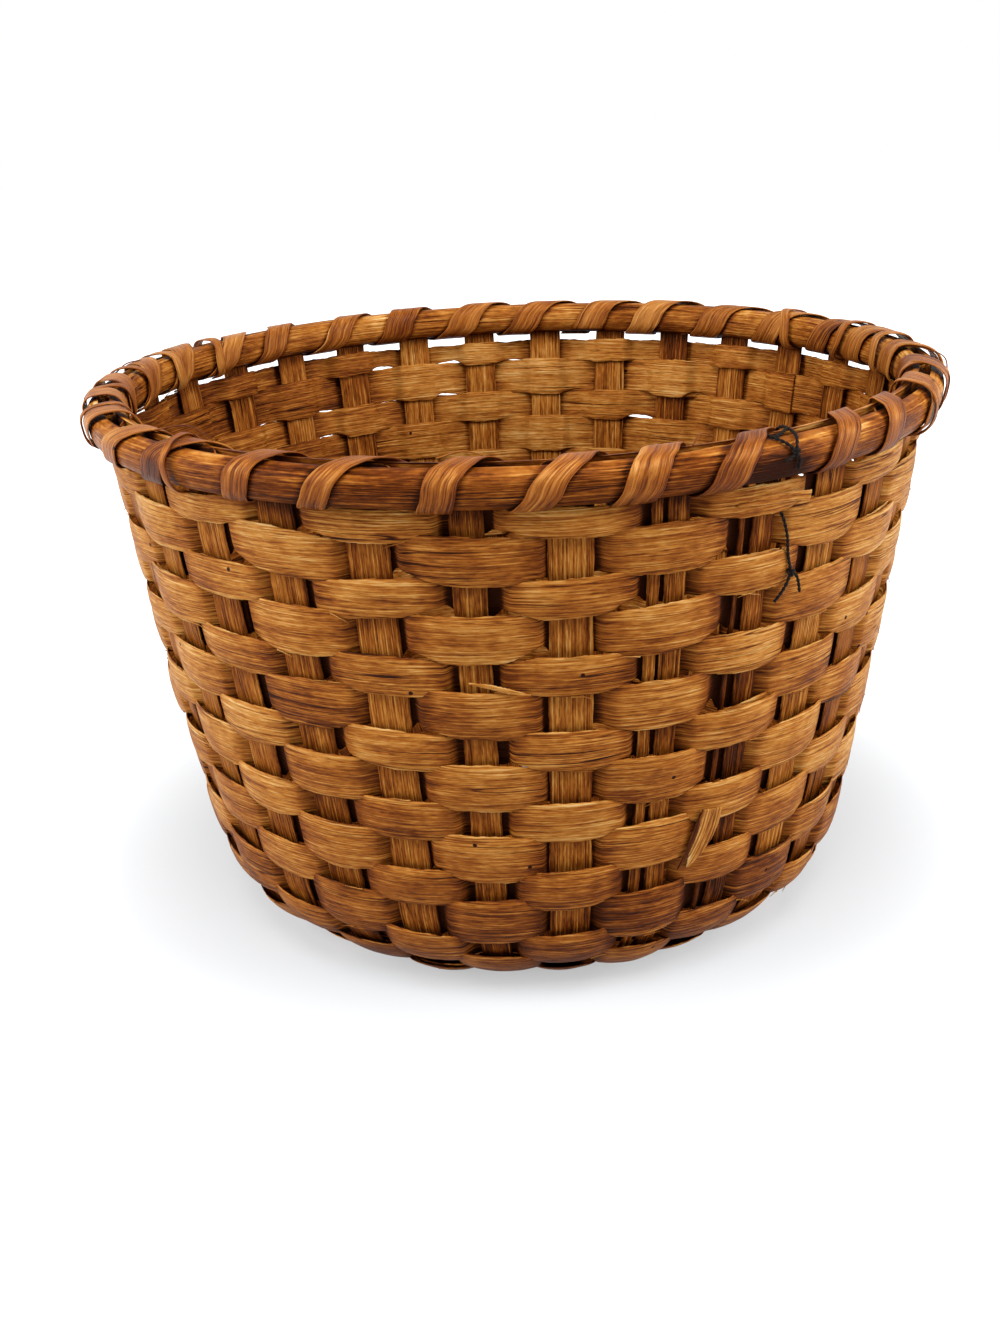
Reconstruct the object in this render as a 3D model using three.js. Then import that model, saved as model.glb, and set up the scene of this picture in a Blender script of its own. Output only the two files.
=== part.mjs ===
// Round splint harvest basket that stands free on its plaited base.
// Fifteen wide splints cross in a square base and turn up as the thirty stakes of the wall.
// Fifteen rows of thinner splint go over and under the stakes, and each row closes on itself with a lap.
// An inner and an outer half-round hoop clamp one more row and the stake tops between them.
// One long splint lashes the hoops together, once round them in every gap between stakes.
// A length of dark twine, an old repair, is tied round the rim at one stake.
// Millimetres, +Z up, the origin on the floor below the middle of the base.
// Angles round the basket start at the front (-Y) and grow towards the right (+X).
import * as THREE from 'three';

const radians = THREE.MathUtils.degToRad;

// Base splints, which turn up as the stakes of the wall
const FRONT_SPLINTS = 8; // splints that run from front to back
const SIDE_SPLINTS = 7; // splints that run from right to left
const STAKE_WIDTH = 18;
const STAKE_THICKNESS = 1.6;
const BASE_SLIT = 6; // open slit between neighbouring splints in the base
const BASE_MARGIN = 4.5; // flat base outside the outermost crossing
const SWEEP_EASE = 0.25; // greatest share of the run to the wall that keeps a splint's first direction
const CORNER_RADIUS = 57; // sweep of the stakes from the base into the wall
const WALL_LEAN = radians(8.8); // outward lean of the wall
const STAKE_TUCK = 4; // the stake tops end this far below the top of the hoops

// Woven rows
const WEAVER_ROWS = 15;
const WIDE_WEAVER = 20;
const NARROW_WEAVER = 15.8;
const TOP_WEAVER = 11; // the narrow row under the rim
const WEAVER_THICKNESS = 1.4;
const ROW_GAP = 0.6;
const SHOULDER = 1.5; // a weaver stays flat this far past the edge of a stake
const FIRST_ROW_TURN = radians(16.5); // how far the stakes have turned up where the first row starts
const LAP_STAKES = 2; // a weaver's end covers its own start for this many stakes
const LAP_STAGGER = 4; // pairs of stakes from one row's lap to the next row's

// Rim hoops
const RIM_SLIT = 5; // open slit between the top row and the hoops
const HOOP_HEIGHT = 18;
const OUTER_HOOP_THICKNESS = 7.5;
const INNER_HOOP_THICKNESS = 6;
const RIM_ROW_WIDTH = 11; // the row hidden between the hoops
const RIM_ROW_LIFT = 2; // its lower edge above the foot of the hoops
const HOOP_BEVEL_DEPTH = 3.5; // rounding of the exposed edges, across the hoop
const HOOP_BEVEL_RISE = 6; // rounding of the exposed edges, along the wall
const HOOP_STEPS = 72;
const SCARF_ANGLE = radians(22); // the hoop ends taper past each other over this angle
const SCARF_TIP = 1.5; // thickness of a tapered end
const SCARF_STEPS = 4;
const SCARF_NOSE = radians(0.6); // blunt step at the start of the taper
const OUTER_SCARF_AT = radians(150);
const INNER_SCARF_AT = radians(-110);

// Rim lashing: one flat splint that goes once round the hoops in every gap between stakes
const LASHING_SPAN = 17; // width of the splint measured round the rim
const LASHING_THICKNESS = 1;
const LASHING_CLEARANCE = 0.5;
const LASHING_START_GAP = 17; // the gap between stakes where the winding starts
const LASHING_UNDER = 0.05; // shares of one turn's advance spent under, outside, above and inside the hoops
const LASHING_OUTSIDE = 0.35;
const LASHING_ABOVE = 0.25;
const LASHING_INSIDE = 0.35;

// Repair twine
const TWINE_DIAMETER = 1.6;
const TWINE_SIDES = 6;
const TWINE_STEPS = 66;
const TWINE_NEAR_STEPS = 4; // steps along the twine that count as next to each other
const TWINE_CLEARANCE = 0.8; // between the hanging ends and the rows behind them

// Clearance between splints and hoops that touch
const FIT = 0.3;

// Layout of the stakes and of the base
const stakeCount = 2 * (FRONT_SPLINTS + SIDE_SPLINTS);
const stakeStep = (2 * Math.PI) / stakeCount;
const basePitch = STAKE_WIDTH + BASE_SLIT;
const crossingFlat = STAKE_WIDTH / 2 + BASE_SLIT / 4; // half of a splint's level run over a crossing
const baseReach = (count) => ((count - 1) / 2) * basePitch;
const flatRadius = Math.hypot(baseReach(FRONT_SPLINTS), baseReach(SIDE_SPLINTS)) + BASE_MARGIN;
const plaitRise = (STAKE_THICKNESS + FIT) / 2;
const baseLevel = STAKE_THICKNESS + FIT / 2;
const stakeAngle = (index) => (index - (FRONT_SPLINTS - 1) / 2) * stakeStep;

// Wall profile: distances along the stakes start where they leave the flat base
const fullTurn = Math.PI / 2 - WALL_LEAN;
const sweepLength = CORNER_RADIUS * fullTurn;

function wallPoint(along) {
  const turn = Math.min(along, sweepLength) / CORNER_RADIUS;
  const straight = Math.max(along - sweepLength, 0);
  return {
    radius: flatRadius + CORNER_RADIUS * Math.sin(turn) + straight * Math.cos(fullTurn),
    height: baseLevel + CORNER_RADIUS * (1 - Math.cos(turn)) + straight * Math.sin(fullTurn),
  };
}

function rowWidth(row) {
  if (row === WEAVER_ROWS - 1) return TOP_WEAVER;
  return row % 2 === 1 ? WIDE_WEAVER : NARROW_WEAVER;
}

const rowEdges = [CORNER_RADIUS * FIRST_ROW_TURN];
for (let row = 0; row < WEAVER_ROWS; row += 1) {
  rowEdges.push(rowEdges[row] + rowWidth(row) + ROW_GAP);
}
const hoopFoot = rowEdges[WEAVER_ROWS] + RIM_SLIT;
const hoopTop = hoopFoot + HOOP_HEIGHT;
const stakeTop = hoopTop - STAKE_TUCK;

// Directions round the basket
const outward = (angle) => new THREE.Vector3(Math.sin(angle), -Math.cos(angle), 0);
const sideways = (angle) => new THREE.Vector3(Math.cos(angle), Math.sin(angle), 0);
const upward = new THREE.Vector3(0, 0, 1);

// Flat patch of wall between two distances along the stakes: its middle, its rise and its outward normal
function wallPatch(from, to, angle) {
  const low = wallPoint(from);
  const high = wallPoint(to);
  const out = outward(angle);
  const rise = out.clone().multiplyScalar(high.radius - low.radius);
  rise.addScaledVector(upward, high.height - low.height).normalize();
  const middle = out.clone().multiplyScalar((low.radius + high.radius) / 2);
  middle.addScaledVector(upward, (low.height + high.height) / 2);
  const along = sideways(angle);
  return { middle, along, rise, normal: along.clone().cross(rise) };
}

// Rectangle round a splint's centre, anticlockwise about the direction wide x thick
function splintSection(centre, wide, thick) {
  const corner = (a, b) => centre.clone().addScaledVector(wide, a).addScaledVector(thick, b);
  return [corner(1, 1), corner(-1, 1), corner(-1, -1), corner(1, -1)];
}

// Closed solid through a run of like polygons, each anticlockwise about the direction of the run
function loft(sections) {
  const corners = sections[0].length;
  const faces = [];
  for (let ring = 0; ring + 1 < sections.length; ring += 1) {
    for (let corner = 0; corner < corners; corner += 1) {
      const here = ring * corners + corner;
      const beside = ring * corners + ((corner + 1) % corners);
      faces.push(here, beside, beside + corners, here, beside + corners, here + corners);
    }
  }
  const last = (sections.length - 1) * corners;
  for (let corner = 1; corner + 1 < corners; corner += 1) {
    faces.push(0, corner + 1, corner, last, last + corner, last + corner + 1);
  }
  const positions = sections.flat().flatMap((point) => point.toArray());
  const geometry = new THREE.BufferGeometry();
  geometry.setAttribute('position', new THREE.Float32BufferAttribute(positions, 3));
  geometry.setIndex(faces);
  geometry.computeVertexNormals();
  return geometry;
}

// Stations of one stake from the foot of the first row to its top, mitred where it bends
function stakeStations(angle) {
  const bends = rowEdges.filter((edge, row) => row === 0 || rowEdges[row - 1] < sweepLength);
  const stops = [...bends, stakeTop];
  const patches = stops.slice(1).map((stop, index) => wallPatch(stops[index], stop, angle));
  return stops.map((stop, index) => {
    const before = patches[Math.max(index - 1, 0)];
    const after = patches[Math.min(index, patches.length - 1)];
    const mitre = before.normal.clone().add(after.normal).normalize();
    const { radius, height } = wallPoint(stop);
    return {
      centre: outward(angle).multiplyScalar(radius).addScaledVector(upward, height),
      wide: after.along,
      inside: mitre.divideScalar(-mitre.dot(after.normal)),
      rise: after.rise,
    };
  });
}

// Half of a base splint: from its last crossing out to the wall at -Y and up to the rim
function splintEnd(offset, angle, lastCrossing, level) {
  const flatEnd = lastCrossing + crossingFlat;
  const start = {
    centre: new THREE.Vector3(offset, -flatEnd, level),
    wide: new THREE.Vector3(1, 0, 0),
    inside: upward.clone(),
  };
  const wall = stakeStations(angle);
  const foot = wall[0];
  const span = foot.centre.distanceTo(start.centre);
  const ease = Math.min(span * SWEEP_EASE, (foot.centre.z - level) / foot.rise.z);
  const leave = start.centre.clone().add(new THREE.Vector3(0, -ease, 0));
  const arrive = foot.centre.clone().addScaledVector(foot.rise, -ease);
  const wide = start.wide.clone().add(foot.wide).normalize();
  const run = foot.centre.clone().sub(start.centre).normalize();
  const middle = {
    centre: leave.add(arrive).divideScalar(2),
    wide,
    inside: run.clone().cross(wide).normalize(),
  };
  return [start, middle, ...wall];
}

// Mirror image of a station from the front half of a splint to its back half
function mirrored(station) {
  const flip = (vector) => new THREE.Vector3(vector.x, -vector.y, vector.z);
  return { centre: flip(station.centre), wide: flip(station.wide), inside: flip(station.inside) };
}

// One base splint, built along Y: back stake, plaited base, front stake
function baseSplint(index, count, crossings, parity) {
  const offset = index * basePitch - baseReach(count);
  const angle = (index - (count - 1) / 2) * stakeStep;
  const crossingAt = (crossing) => crossing * basePitch - baseReach(crossings);
  const levelAt = (crossing) => {
    const above = (crossing + index + parity) % 2 === 0;
    return above ? baseLevel + plaitRise : baseLevel - plaitRise;
  };
  const reach = baseReach(crossings);
  const back = splintEnd(offset, angle, reach, levelAt(crossings - 1)).map(mirrored);
  const front = splintEnd(offset, angle, reach, levelAt(0));
  const stations = back.reverse();
  for (let crossing = crossings - 1; crossing >= 0; crossing -= 1) {
    for (const side of [crossingFlat, -crossingFlat]) {
      const outermost = (crossing === crossings - 1 && side > 0) || (crossing === 0 && side < 0);
      if (outermost) continue;
      stations.push({
        centre: new THREE.Vector3(offset, crossingAt(crossing) + side, levelAt(crossing)),
        wide: new THREE.Vector3(1, 0, 0),
        inside: upward,
      });
    }
  }
  stations.push(...front);
  return loft(stations.map(({ centre, wide, inside }) => splintSection(
    centre,
    wide.clone().multiplyScalar(STAKE_WIDTH / 2),
    inside.clone().multiplyScalar(STAKE_THICKNESS / 2),
  )));
}

// Room that a stake and the row round it take on either side of the wall's middle
const weaverFace = STAKE_THICKNESS / 2 + FIT + WEAVER_THICKNESS;

// Half of the flat run of a weaver over a stake
const flatRun = STAKE_WIDTH / 2 + SHOULDER;

// One woven row between two distances along the stakes. It starts behind a stake at the front and ends
// a number of stakes past its own start, or before it where that number is negative.
function weaver(from, to, width, lap) {
  const seat = (STAKE_THICKNESS + WEAVER_THICKNESS) / 2 + FIT;
  const lapRise = WEAVER_THICKNESS + FIT;
  const sections = [];
  for (let stake = 0; stake <= stakeCount + lap; stake += 1) {
    const outside = stake % 2 === 1;
    const underLap = !outside && stake <= lap;
    const overLap = outside && stake >= stakeCount;
    const lift = (underLap ? -lapRise : 0) + (overLap ? lapRise : 0);
    const patch = wallPatch(from, to, stake * stakeStep);
    for (const side of [-flatRun, flatRun]) {
      const centre = patch.middle.clone().addScaledVector(patch.along, side);
      centre.addScaledVector(patch.normal, (outside ? seat : -seat) + lift);
      const wide = patch.rise.clone().multiplyScalar(width / 2);
      sections.push(splintSection(centre, wide, patch.normal.clone().multiplyScalar(WEAVER_THICKNESS / 2)));
    }
  }
  return loft(sections);
}

// Point beside the straight wall: a distance along it, a standoff out from its middle, and an angle
const rimPatch = (angle) => wallPatch(hoopFoot, hoopTop, angle);
function besideWall(along, standoff, angle) {
  const { radius, height } = wallPoint(along);
  const point = outward(angle).multiplyScalar(radius).addScaledVector(upward, height);
  return point.addScaledVector(rimPatch(angle).normal, standoff);
}

// Hoop faces against the rim row: its flat runs need more room on the outside than on the inside
const rimRadius = wallPoint(hoopTop).radius;
const rowSag = flatRun ** 2 / (2 * wallPoint(hoopFoot).radius);
const hoopSag = rimRadius * (1 - Math.cos(Math.PI / HOOP_STEPS));
const outerSeat = weaverFace + FIT + rowSag + hoopSag;
const innerSeat = weaverFace + FIT;

// Slice of a hoop's half-round section between two depths, measured out from its flat face
function hoopSection(thickness, low, high) {
  const lip = thickness - HOOP_BEVEL_DEPTH;
  const knee = low < lip && lip < high ? lip : (low + high) / 2;
  const inset = (depth) => (Math.max(depth - lip, 0) * HOOP_BEVEL_RISE) / HOOP_BEVEL_DEPTH;
  const topCorners = [low, knee, high].map((depth) => [depth, hoopTop - inset(depth)]);
  const footCorners = [high, knee, low].map((depth) => [depth, hoopFoot + inset(depth)]);
  return [...topCorners, ...footCorners];
}

// One bent hoop whose ends taper past each other in a scarf
function hoop(thickness, seat, direction, scarfAt) {
  const split = (share) => THREE.MathUtils.lerp(thickness - SCARF_TIP, SCARF_TIP + FIT, share);
  const stops = [];
  for (let step = 0; step <= SCARF_STEPS; step += 1) {
    const share = step / SCARF_STEPS;
    stops.push({ angle: share * SCARF_ANGLE, low: split(share), high: thickness });
  }
  const clear = 2 * Math.PI - SCARF_ANGLE - 2 * SCARF_NOSE;
  const plainSteps = Math.ceil((HOOP_STEPS * clear) / (2 * Math.PI));
  for (let step = 0; step <= plainSteps; step += 1) {
    const angle = SCARF_ANGLE + SCARF_NOSE + (clear * step) / plainSteps;
    stops.push({ angle, low: 0, high: thickness });
  }
  for (let step = 0; step <= SCARF_STEPS; step += 1) {
    const share = step / SCARF_STEPS;
    stops.push({ angle: 2 * Math.PI + share * SCARF_ANGLE, low: 0, high: split(share) - FIT });
  }
  const sections = stops.map(({ angle, low, high }) => {
    const section = hoopSection(thickness, low, high);
    if (direction < 0) section.reverse();
    return section.map(([depth, along]) => besideWall(along, direction * (seat + depth), scarfAt + angle));
  });
  return loft(sections);
}

// Outline of both hoops together as [standoff, along], from under the inner hoop round the outside
function rimOutline() {
  const outerFace = outerSeat + OUTER_HOOP_THICKNESS;
  const innerFace = -innerSeat - INNER_HOOP_THICKNESS;
  return [
    [innerFace + HOOP_BEVEL_DEPTH, hoopFoot],
    [outerFace - HOOP_BEVEL_DEPTH, hoopFoot],
    [outerFace, hoopFoot + HOOP_BEVEL_RISE],
    [outerFace, hoopTop - HOOP_BEVEL_RISE],
    [outerFace - HOOP_BEVEL_DEPTH, hoopTop],
    [innerFace + HOOP_BEVEL_DEPTH, hoopTop],
    [innerFace, hoopTop - HOOP_BEVEL_RISE],
    [innerFace, hoopFoot + HOOP_BEVEL_RISE],
  ];
}

// The outline moved out by a distance, with mitred corners
function widenedOutline(distance) {
  const outline = rimOutline();
  const normalAfter = (index) => {
    const [x, y] = outline[index];
    const [nextX, nextY] = outline[(index + 1) % outline.length];
    const length = Math.hypot(nextX - x, nextY - y);
    return new THREE.Vector2((nextY - y) / length, (x - nextX) / length);
  };
  return outline.map(([x, y], index) => {
    const before = normalAfter((index + outline.length - 1) % outline.length);
    const after = normalAfter(index);
    const mitre = before.clone().add(after).multiplyScalar(distance / (1 + before.dot(after)));
    return [x + mitre.x, y + mitre.y];
  });
}

// Share of one turn's advance at each corner of the outline
function lashingAdvance() {
  const outline = rimOutline();
  const stretches = [[0, 1, LASHING_UNDER], [1, 4, LASHING_OUTSIDE], [4, 5, LASHING_ABOVE], [5, 8, LASHING_INSIDE]];
  const shares = [0];
  for (const [from, to, share] of stretches) {
    const begin = shares[from];
    const rise = (index) => Math.abs(outline[index % outline.length][1] - outline[from][1]);
    const height = to - from > 1 ? HOOP_HEIGHT : 0;
    for (let index = from + 1; index <= to; index += 1) {
      const done = index === to || height === 0 ? 1 : rise(index) / height;
      shares[index] = begin + share * done;
    }
  }
  return shares;
}

// Stations of the winding: the angle and the two faces of the splint at every corner of every turn
function lashingStations() {
  const under = widenedOutline(LASHING_CLEARANCE);
  const over = widenedOutline(LASHING_CLEARANCE + LASHING_THICKNESS);
  const advance = lashingAdvance();
  const stations = [];
  const corners = under.length;
  const total = stakeCount * corners - 1;
  for (let station = 0; station < total; station += 1) {
    const turn = Math.floor(station / corners);
    const corner = station % corners;
    const gap = LASHING_START_GAP + turn + advance[corner] - LASHING_UNDER / 2;
    const angle = stakeAngle(gap) + stakeStep / 2;
    stations.push({ angle, under: under[corner], over: over[corner] });
  }
  return stations;
}

function rimLashing() {
  const stations = lashingStations();
  const half = LASHING_SPAN / 2 / rimRadius;
  const sections = stations.map(({ angle, under, over }) => [
    besideWall(over[1], over[0], angle - half),
    besideWall(over[1], over[0], angle + half),
    besideWall(under[1], under[0], angle + half),
    besideWall(under[1], under[0], angle - half),
  ]);
  const corners = rimOutline().length;
  let least = Infinity;
  sections.forEach((section, index) => {
    const later = sections[index + corners];
    if (later) least = Math.min(least, section[1].distanceTo(later[0]), section[2].distanceTo(later[3]));
  });
  console.log(`rim lashing: ${stakeCount} turns, least gap to itself ${least.toFixed(2)} mm`);
  return loft(sections);
}

// Twine route in order: angles in degrees at the corners of the rim outline, two turns round the rim that
// start and end at the corner under the outer hoop
const TWINE_TURNS = [
  35.3, 34.6, 34.2, 34.5, 34.8, 34.9, 34.6, 34.2,
  33.9, 33.2, 32.6, 31.9, 31.3, 31.3, 32.2, 33.2,
  33.2,
];
// and [angle in degrees, drop below the hoops] where its two ends hang down the wall
const TWINE_TAIL_ONE = [[37.0, 56], [36.6, 49], [36.1, 40], [35.8, 30], [35.5, 20], [35.5, 9]];
const TWINE_TAIL_TWO = [[33.2, 9], [33.6, 20], [34.2, 30], [34.8, 40], [35.2, 48], [33.6, 59]];

function repairTwine() {
  const onRim = widenedOutline(LASHING_CLEARANCE + LASHING_THICKNESS + FIT + TWINE_DIAMETER / 2);
  const overRows = weaverFace + TWINE_CLEARANCE + TWINE_DIAMETER / 2;
  const rimPoint = (degrees, step) => {
    const [standoff, along] = onRim[(step + 1) % onRim.length];
    return besideWall(along, standoff, radians(degrees));
  };
  const wallSpot = ([degrees, drop]) => besideWall(hoopFoot - drop, overRows, radians(degrees));
  const points = [
    ...TWINE_TAIL_ONE.map(wallSpot),
    ...TWINE_TURNS.map(rimPoint),
    ...TWINE_TAIL_TWO.map(wallSpot),
  ];
  const route = new THREE.CatmullRomCurve3(points, false, 'centripetal');
  const section = new THREE.Shape();
  for (let side = 0; side < TWINE_SIDES; side += 1) {
    const turn = (2 * Math.PI * side) / TWINE_SIDES;
    const x = (TWINE_DIAMETER / 2) * Math.cos(turn);
    const y = (TWINE_DIAMETER / 2) * Math.sin(turn);
    if (side === 0) section.moveTo(x, y);
    else section.lineTo(x, y);
  }
  section.closePath();
  const spots = route.getSpacedPoints(TWINE_STEPS);
  let least = Infinity;
  spots.forEach((spot, index) => {
    spots.slice(index + TWINE_NEAR_STEPS).forEach((other) => {
      least = Math.min(least, spot.distanceTo(other) - TWINE_DIAMETER);
    });
  });
  console.log(`repair twine: length ${route.getLength().toFixed(0)} mm, least gap to itself ${least.toFixed(2)} mm`);
  return new THREE.ExtrudeGeometry(section, { steps: TWINE_STEPS, extrudePath: route });
}

// Finishes
const finish = (color, roughness) => new THREE.MeshStandardMaterial({ color, roughness, metalness: 0 });
const stakeFinish = finish(0x8a5a26, 0.5);
const weaverFinish = finish(0x9a6429, 0.48);
const hoopFinish = finish(0x94602b, 0.42);
const lashingFinish = finish(0x8e5426, 0.5);
const twineFinish = finish(0x1d1713, 0.8);

function addPiece(group, name, geometry, material) {
  const mesh = new THREE.Mesh(geometry, material);
  mesh.name = name;
  group.add(mesh);
  return mesh;
}

const number = (index) => String(index + 1).padStart(2, '0');

const frontSplints = new THREE.Group();
for (let index = 0; index < FRONT_SPLINTS; index += 1) {
  const geometry = baseSplint(index, FRONT_SPLINTS, SIDE_SPLINTS, 0);
  addPiece(frontSplints, `front_splint_${number(index)}`, geometry, stakeFinish);
}

const sideSplints = new THREE.Group();
sideSplints.rotation.z = Math.PI / 2;
for (let index = 0; index < SIDE_SPLINTS; index += 1) {
  const geometry = baseSplint(index, SIDE_SPLINTS, FRONT_SPLINTS, FRONT_SPLINTS);
  addPiece(sideSplints, `side_splint_${number(index)}`, geometry, stakeFinish);
}

// A row starts inside the basket, so the rows start at odd and even stakes in turn
const firstStake = (row) => 2 * LAP_STAGGER * row + ((row + 1) % 2);

const wovenRows = new THREE.Group();
for (let row = 0; row < WEAVER_ROWS; row += 1) {
  const geometry = weaver(rowEdges[row], rowEdges[row + 1], rowWidth(row), LAP_STAKES);
  const mesh = addPiece(wovenRows, `weaver_row_${number(row)}`, geometry, weaverFinish);
  mesh.rotation.z = stakeAngle(firstStake(row));
}

const rim = new THREE.Group();
const rimRowFoot = hoopFoot + RIM_ROW_LIFT;
const rimRow = weaver(rimRowFoot, rimRowFoot + RIM_ROW_WIDTH, RIM_ROW_WIDTH, -1);
addPiece(rim, 'rim_row', rimRow, weaverFinish).rotation.z = stakeAngle(firstStake(WEAVER_ROWS));
addPiece(rim, 'outer_rim_hoop', hoop(OUTER_HOOP_THICKNESS, outerSeat, 1, OUTER_SCARF_AT), hoopFinish);
addPiece(rim, 'inner_rim_hoop', hoop(INNER_HOOP_THICKNESS, innerSeat, -1, INNER_SCARF_AT), hoopFinish);
addPiece(rim, 'rim_lashing', rimLashing(), lashingFinish);
addPiece(rim, 'repair_twine', repairTwine(), twineFinish);

const basket = new THREE.Group();
basket.add(frontSplints, sideSplints, wovenRows, rim);

export default basket;
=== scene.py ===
import math
import zlib

import bpy
import numpy as np
from mathutils import Matrix, Vector


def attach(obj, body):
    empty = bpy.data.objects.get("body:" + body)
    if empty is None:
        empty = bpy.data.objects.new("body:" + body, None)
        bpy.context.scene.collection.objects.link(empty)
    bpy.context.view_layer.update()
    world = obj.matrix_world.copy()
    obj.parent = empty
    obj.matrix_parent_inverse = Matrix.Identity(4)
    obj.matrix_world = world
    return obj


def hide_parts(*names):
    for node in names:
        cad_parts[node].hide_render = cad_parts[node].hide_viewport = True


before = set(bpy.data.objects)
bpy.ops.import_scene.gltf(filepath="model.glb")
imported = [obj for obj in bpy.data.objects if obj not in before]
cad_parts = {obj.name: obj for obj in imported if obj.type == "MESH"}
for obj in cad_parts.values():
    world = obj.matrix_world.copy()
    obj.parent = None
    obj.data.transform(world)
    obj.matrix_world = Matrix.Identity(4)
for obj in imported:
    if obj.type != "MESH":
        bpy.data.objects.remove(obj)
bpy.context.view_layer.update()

# Sizes are in millimetres until a mesh is made, and angles start at the front and grow to the right
MM = 0.001

# Driving sizes of the CAD model
FRONT_SPLINTS = 8
SIDE_SPLINTS = 7
STAKE_WIDTH = 18.0
STAKE_THICKNESS = 1.6
BASE_SLIT = 6.0
BASE_MARGIN = 4.5
CORNER_RADIUS = 57.0
WALL_LEAN = math.radians(8.8)
STAKE_TUCK = 4.0
WEAVER_ROWS = 15
WIDE_WEAVER = 20.0
NARROW_WEAVER = 15.8
TOP_WEAVER = 11.0
WEAVER_THICKNESS = 1.4
ROW_GAP = 0.6
SHOULDER = 1.5
FIRST_ROW_TURN = math.radians(16.5)
LAP_STAKES = 2
LAP_STAGGER = 4
RIM_SLIT = 5.0
HOOP_HEIGHT = 18.0
OUTER_HOOP_THICKNESS = 7.5
INNER_HOOP_THICKNESS = 6.0
RIM_ROW_WIDTH = 11.0
RIM_ROW_LIFT = 2.0
HOOP_STEPS = 72
SCARF_ANGLE = math.radians(22)
SCARF_TIP = 1.5
OUTER_SCARF_AT = math.radians(150)
INNER_SCARF_AT = math.radians(-110)
LASHING_SPAN = 17.0
LASHING_THICKNESS = 1.0
LASHING_CLEARANCE = 0.5
LASHING_START_GAP = 17
LASHING_UNDER = 0.05
LASHING_OUTSIDE = 0.35
LASHING_ABOVE = 0.25
TWINE_DIAMETER = 1.6
FIT = 0.3

# Values worked out from them, by the same formulas as in the CAD model
STAKE_COUNT = 2 * (FRONT_SPLINTS + SIDE_SPLINTS)
STAKE_STEP = math.tau / STAKE_COUNT
BASE_PITCH = STAKE_WIDTH + BASE_SLIT
CROSSING_FLAT = STAKE_WIDTH / 2 + BASE_SLIT / 4
PLAIT_RISE = (STAKE_THICKNESS + FIT) / 2
BASE_LEVEL = STAKE_THICKNESS + FIT / 2
FULL_TURN = math.pi / 2 - WALL_LEAN
SWEEP_LENGTH = CORNER_RADIUS * FULL_TURN
WEAVER_FACE = STAKE_THICKNESS / 2 + FIT + WEAVER_THICKNESS
FLAT_RUN = STAKE_WIDTH / 2 + SHOULDER
LAP_RISE = WEAVER_THICKNESS + FIT


def base_reach(count):
    return (count - 1) / 2 * BASE_PITCH


FLAT_RADIUS = math.hypot(base_reach(FRONT_SPLINTS), base_reach(SIDE_SPLINTS)) + BASE_MARGIN


def stake_angle(index):
    return (index - (FRONT_SPLINTS - 1) / 2) * STAKE_STEP


def row_width(row):
    if row == WEAVER_ROWS - 1:
        return TOP_WEAVER
    return WIDE_WEAVER if row % 2 else NARROW_WEAVER


def first_stake(row):
    return 2 * LAP_STAGGER * row + (row + 1) % 2


ROW_EDGES = [CORNER_RADIUS * FIRST_ROW_TURN]
for row_index in range(WEAVER_ROWS):
    ROW_EDGES.append(ROW_EDGES[-1] + row_width(row_index) + ROW_GAP)
HOOP_FOOT = ROW_EDGES[-1] + RIM_SLIT
HOOP_TOP = HOOP_FOOT + HOOP_HEIGHT
STAKE_TOP = HOOP_TOP - STAKE_TUCK


def wall_turn(along):
    """How far the wall has turned up at a distance along the stakes."""
    return np.minimum(along, SWEEP_LENGTH) / CORNER_RADIUS


def wall_point(along):
    """Radius and height of the wall's middle there."""
    turn = wall_turn(along)
    straight = np.maximum(along - SWEEP_LENGTH, 0)
    radius = FLAT_RADIUS + CORNER_RADIUS * np.sin(turn) + straight * math.cos(FULL_TURN)
    height = BASE_LEVEL + CORNER_RADIUS * (1 - np.cos(turn)) + straight * math.sin(FULL_TURN)
    return radius, height


def on_wall(along, standoff, angle):
    """Points at distances along the wall, standoffs out from its middle, and angles."""
    radius, height = wall_point(along)
    turn = wall_turn(along)
    radius = radius + standoff * np.sin(turn)
    height = height - standoff * np.cos(turn)
    return np.stack(np.broadcast_arrays(radius * np.sin(angle), -radius * np.cos(angle), height), axis=-1)


RIM_RADIUS = float(wall_point(HOOP_TOP)[0])
ROW_SAG = FLAT_RUN ** 2 / (2 * float(wall_point(HOOP_FOOT)[0]))
HOOP_SAG = RIM_RADIUS * (1 - math.cos(math.pi / HOOP_STEPS))
OUTER_SEAT = WEAVER_FACE + FIT + ROW_SAG + HOOP_SAG
INNER_SEAT = WEAVER_FACE + FIT
OUTER_FACE = OUTER_SEAT + OUTER_HOOP_THICKNESS
INNER_FACE = -INNER_SEAT - INNER_HOOP_THICKNESS

# Chance, smoothing and directions
HARMONICS = (1.0, 1.7, 2.9)


def seeded(name):
    """Each piece has a generator of its own."""
    return np.random.default_rng(zlib.crc32(name.encode()))


def wander(along, wavelength, chance):
    """A smooth random wave of about unit height."""
    total = np.zeros(np.shape(along))
    for harmonic in HARMONICS:
        phase = chance.uniform(0, math.tau)
        total = total + np.sin(math.tau * np.asarray(along) * harmonic / wavelength + phase) / harmonic
    return total / 1.4


def waves(along, parts, chance):
    """Random waves added up, from heights and wavelengths."""
    return sum(height * wander(along, wavelength, chance) for height, wavelength in parts)


def softened(values, reach):
    """Values with their corners rounded over a number of steps."""
    steps = np.arange(-2 * reach, 2 * reach + 1)
    weights = np.exp(-0.5 * (steps / reach) ** 2)
    padded = np.pad(values, 2 * reach, mode="edge")
    return np.convolve(padded, weights / weights.sum(), mode="valid")


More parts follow.
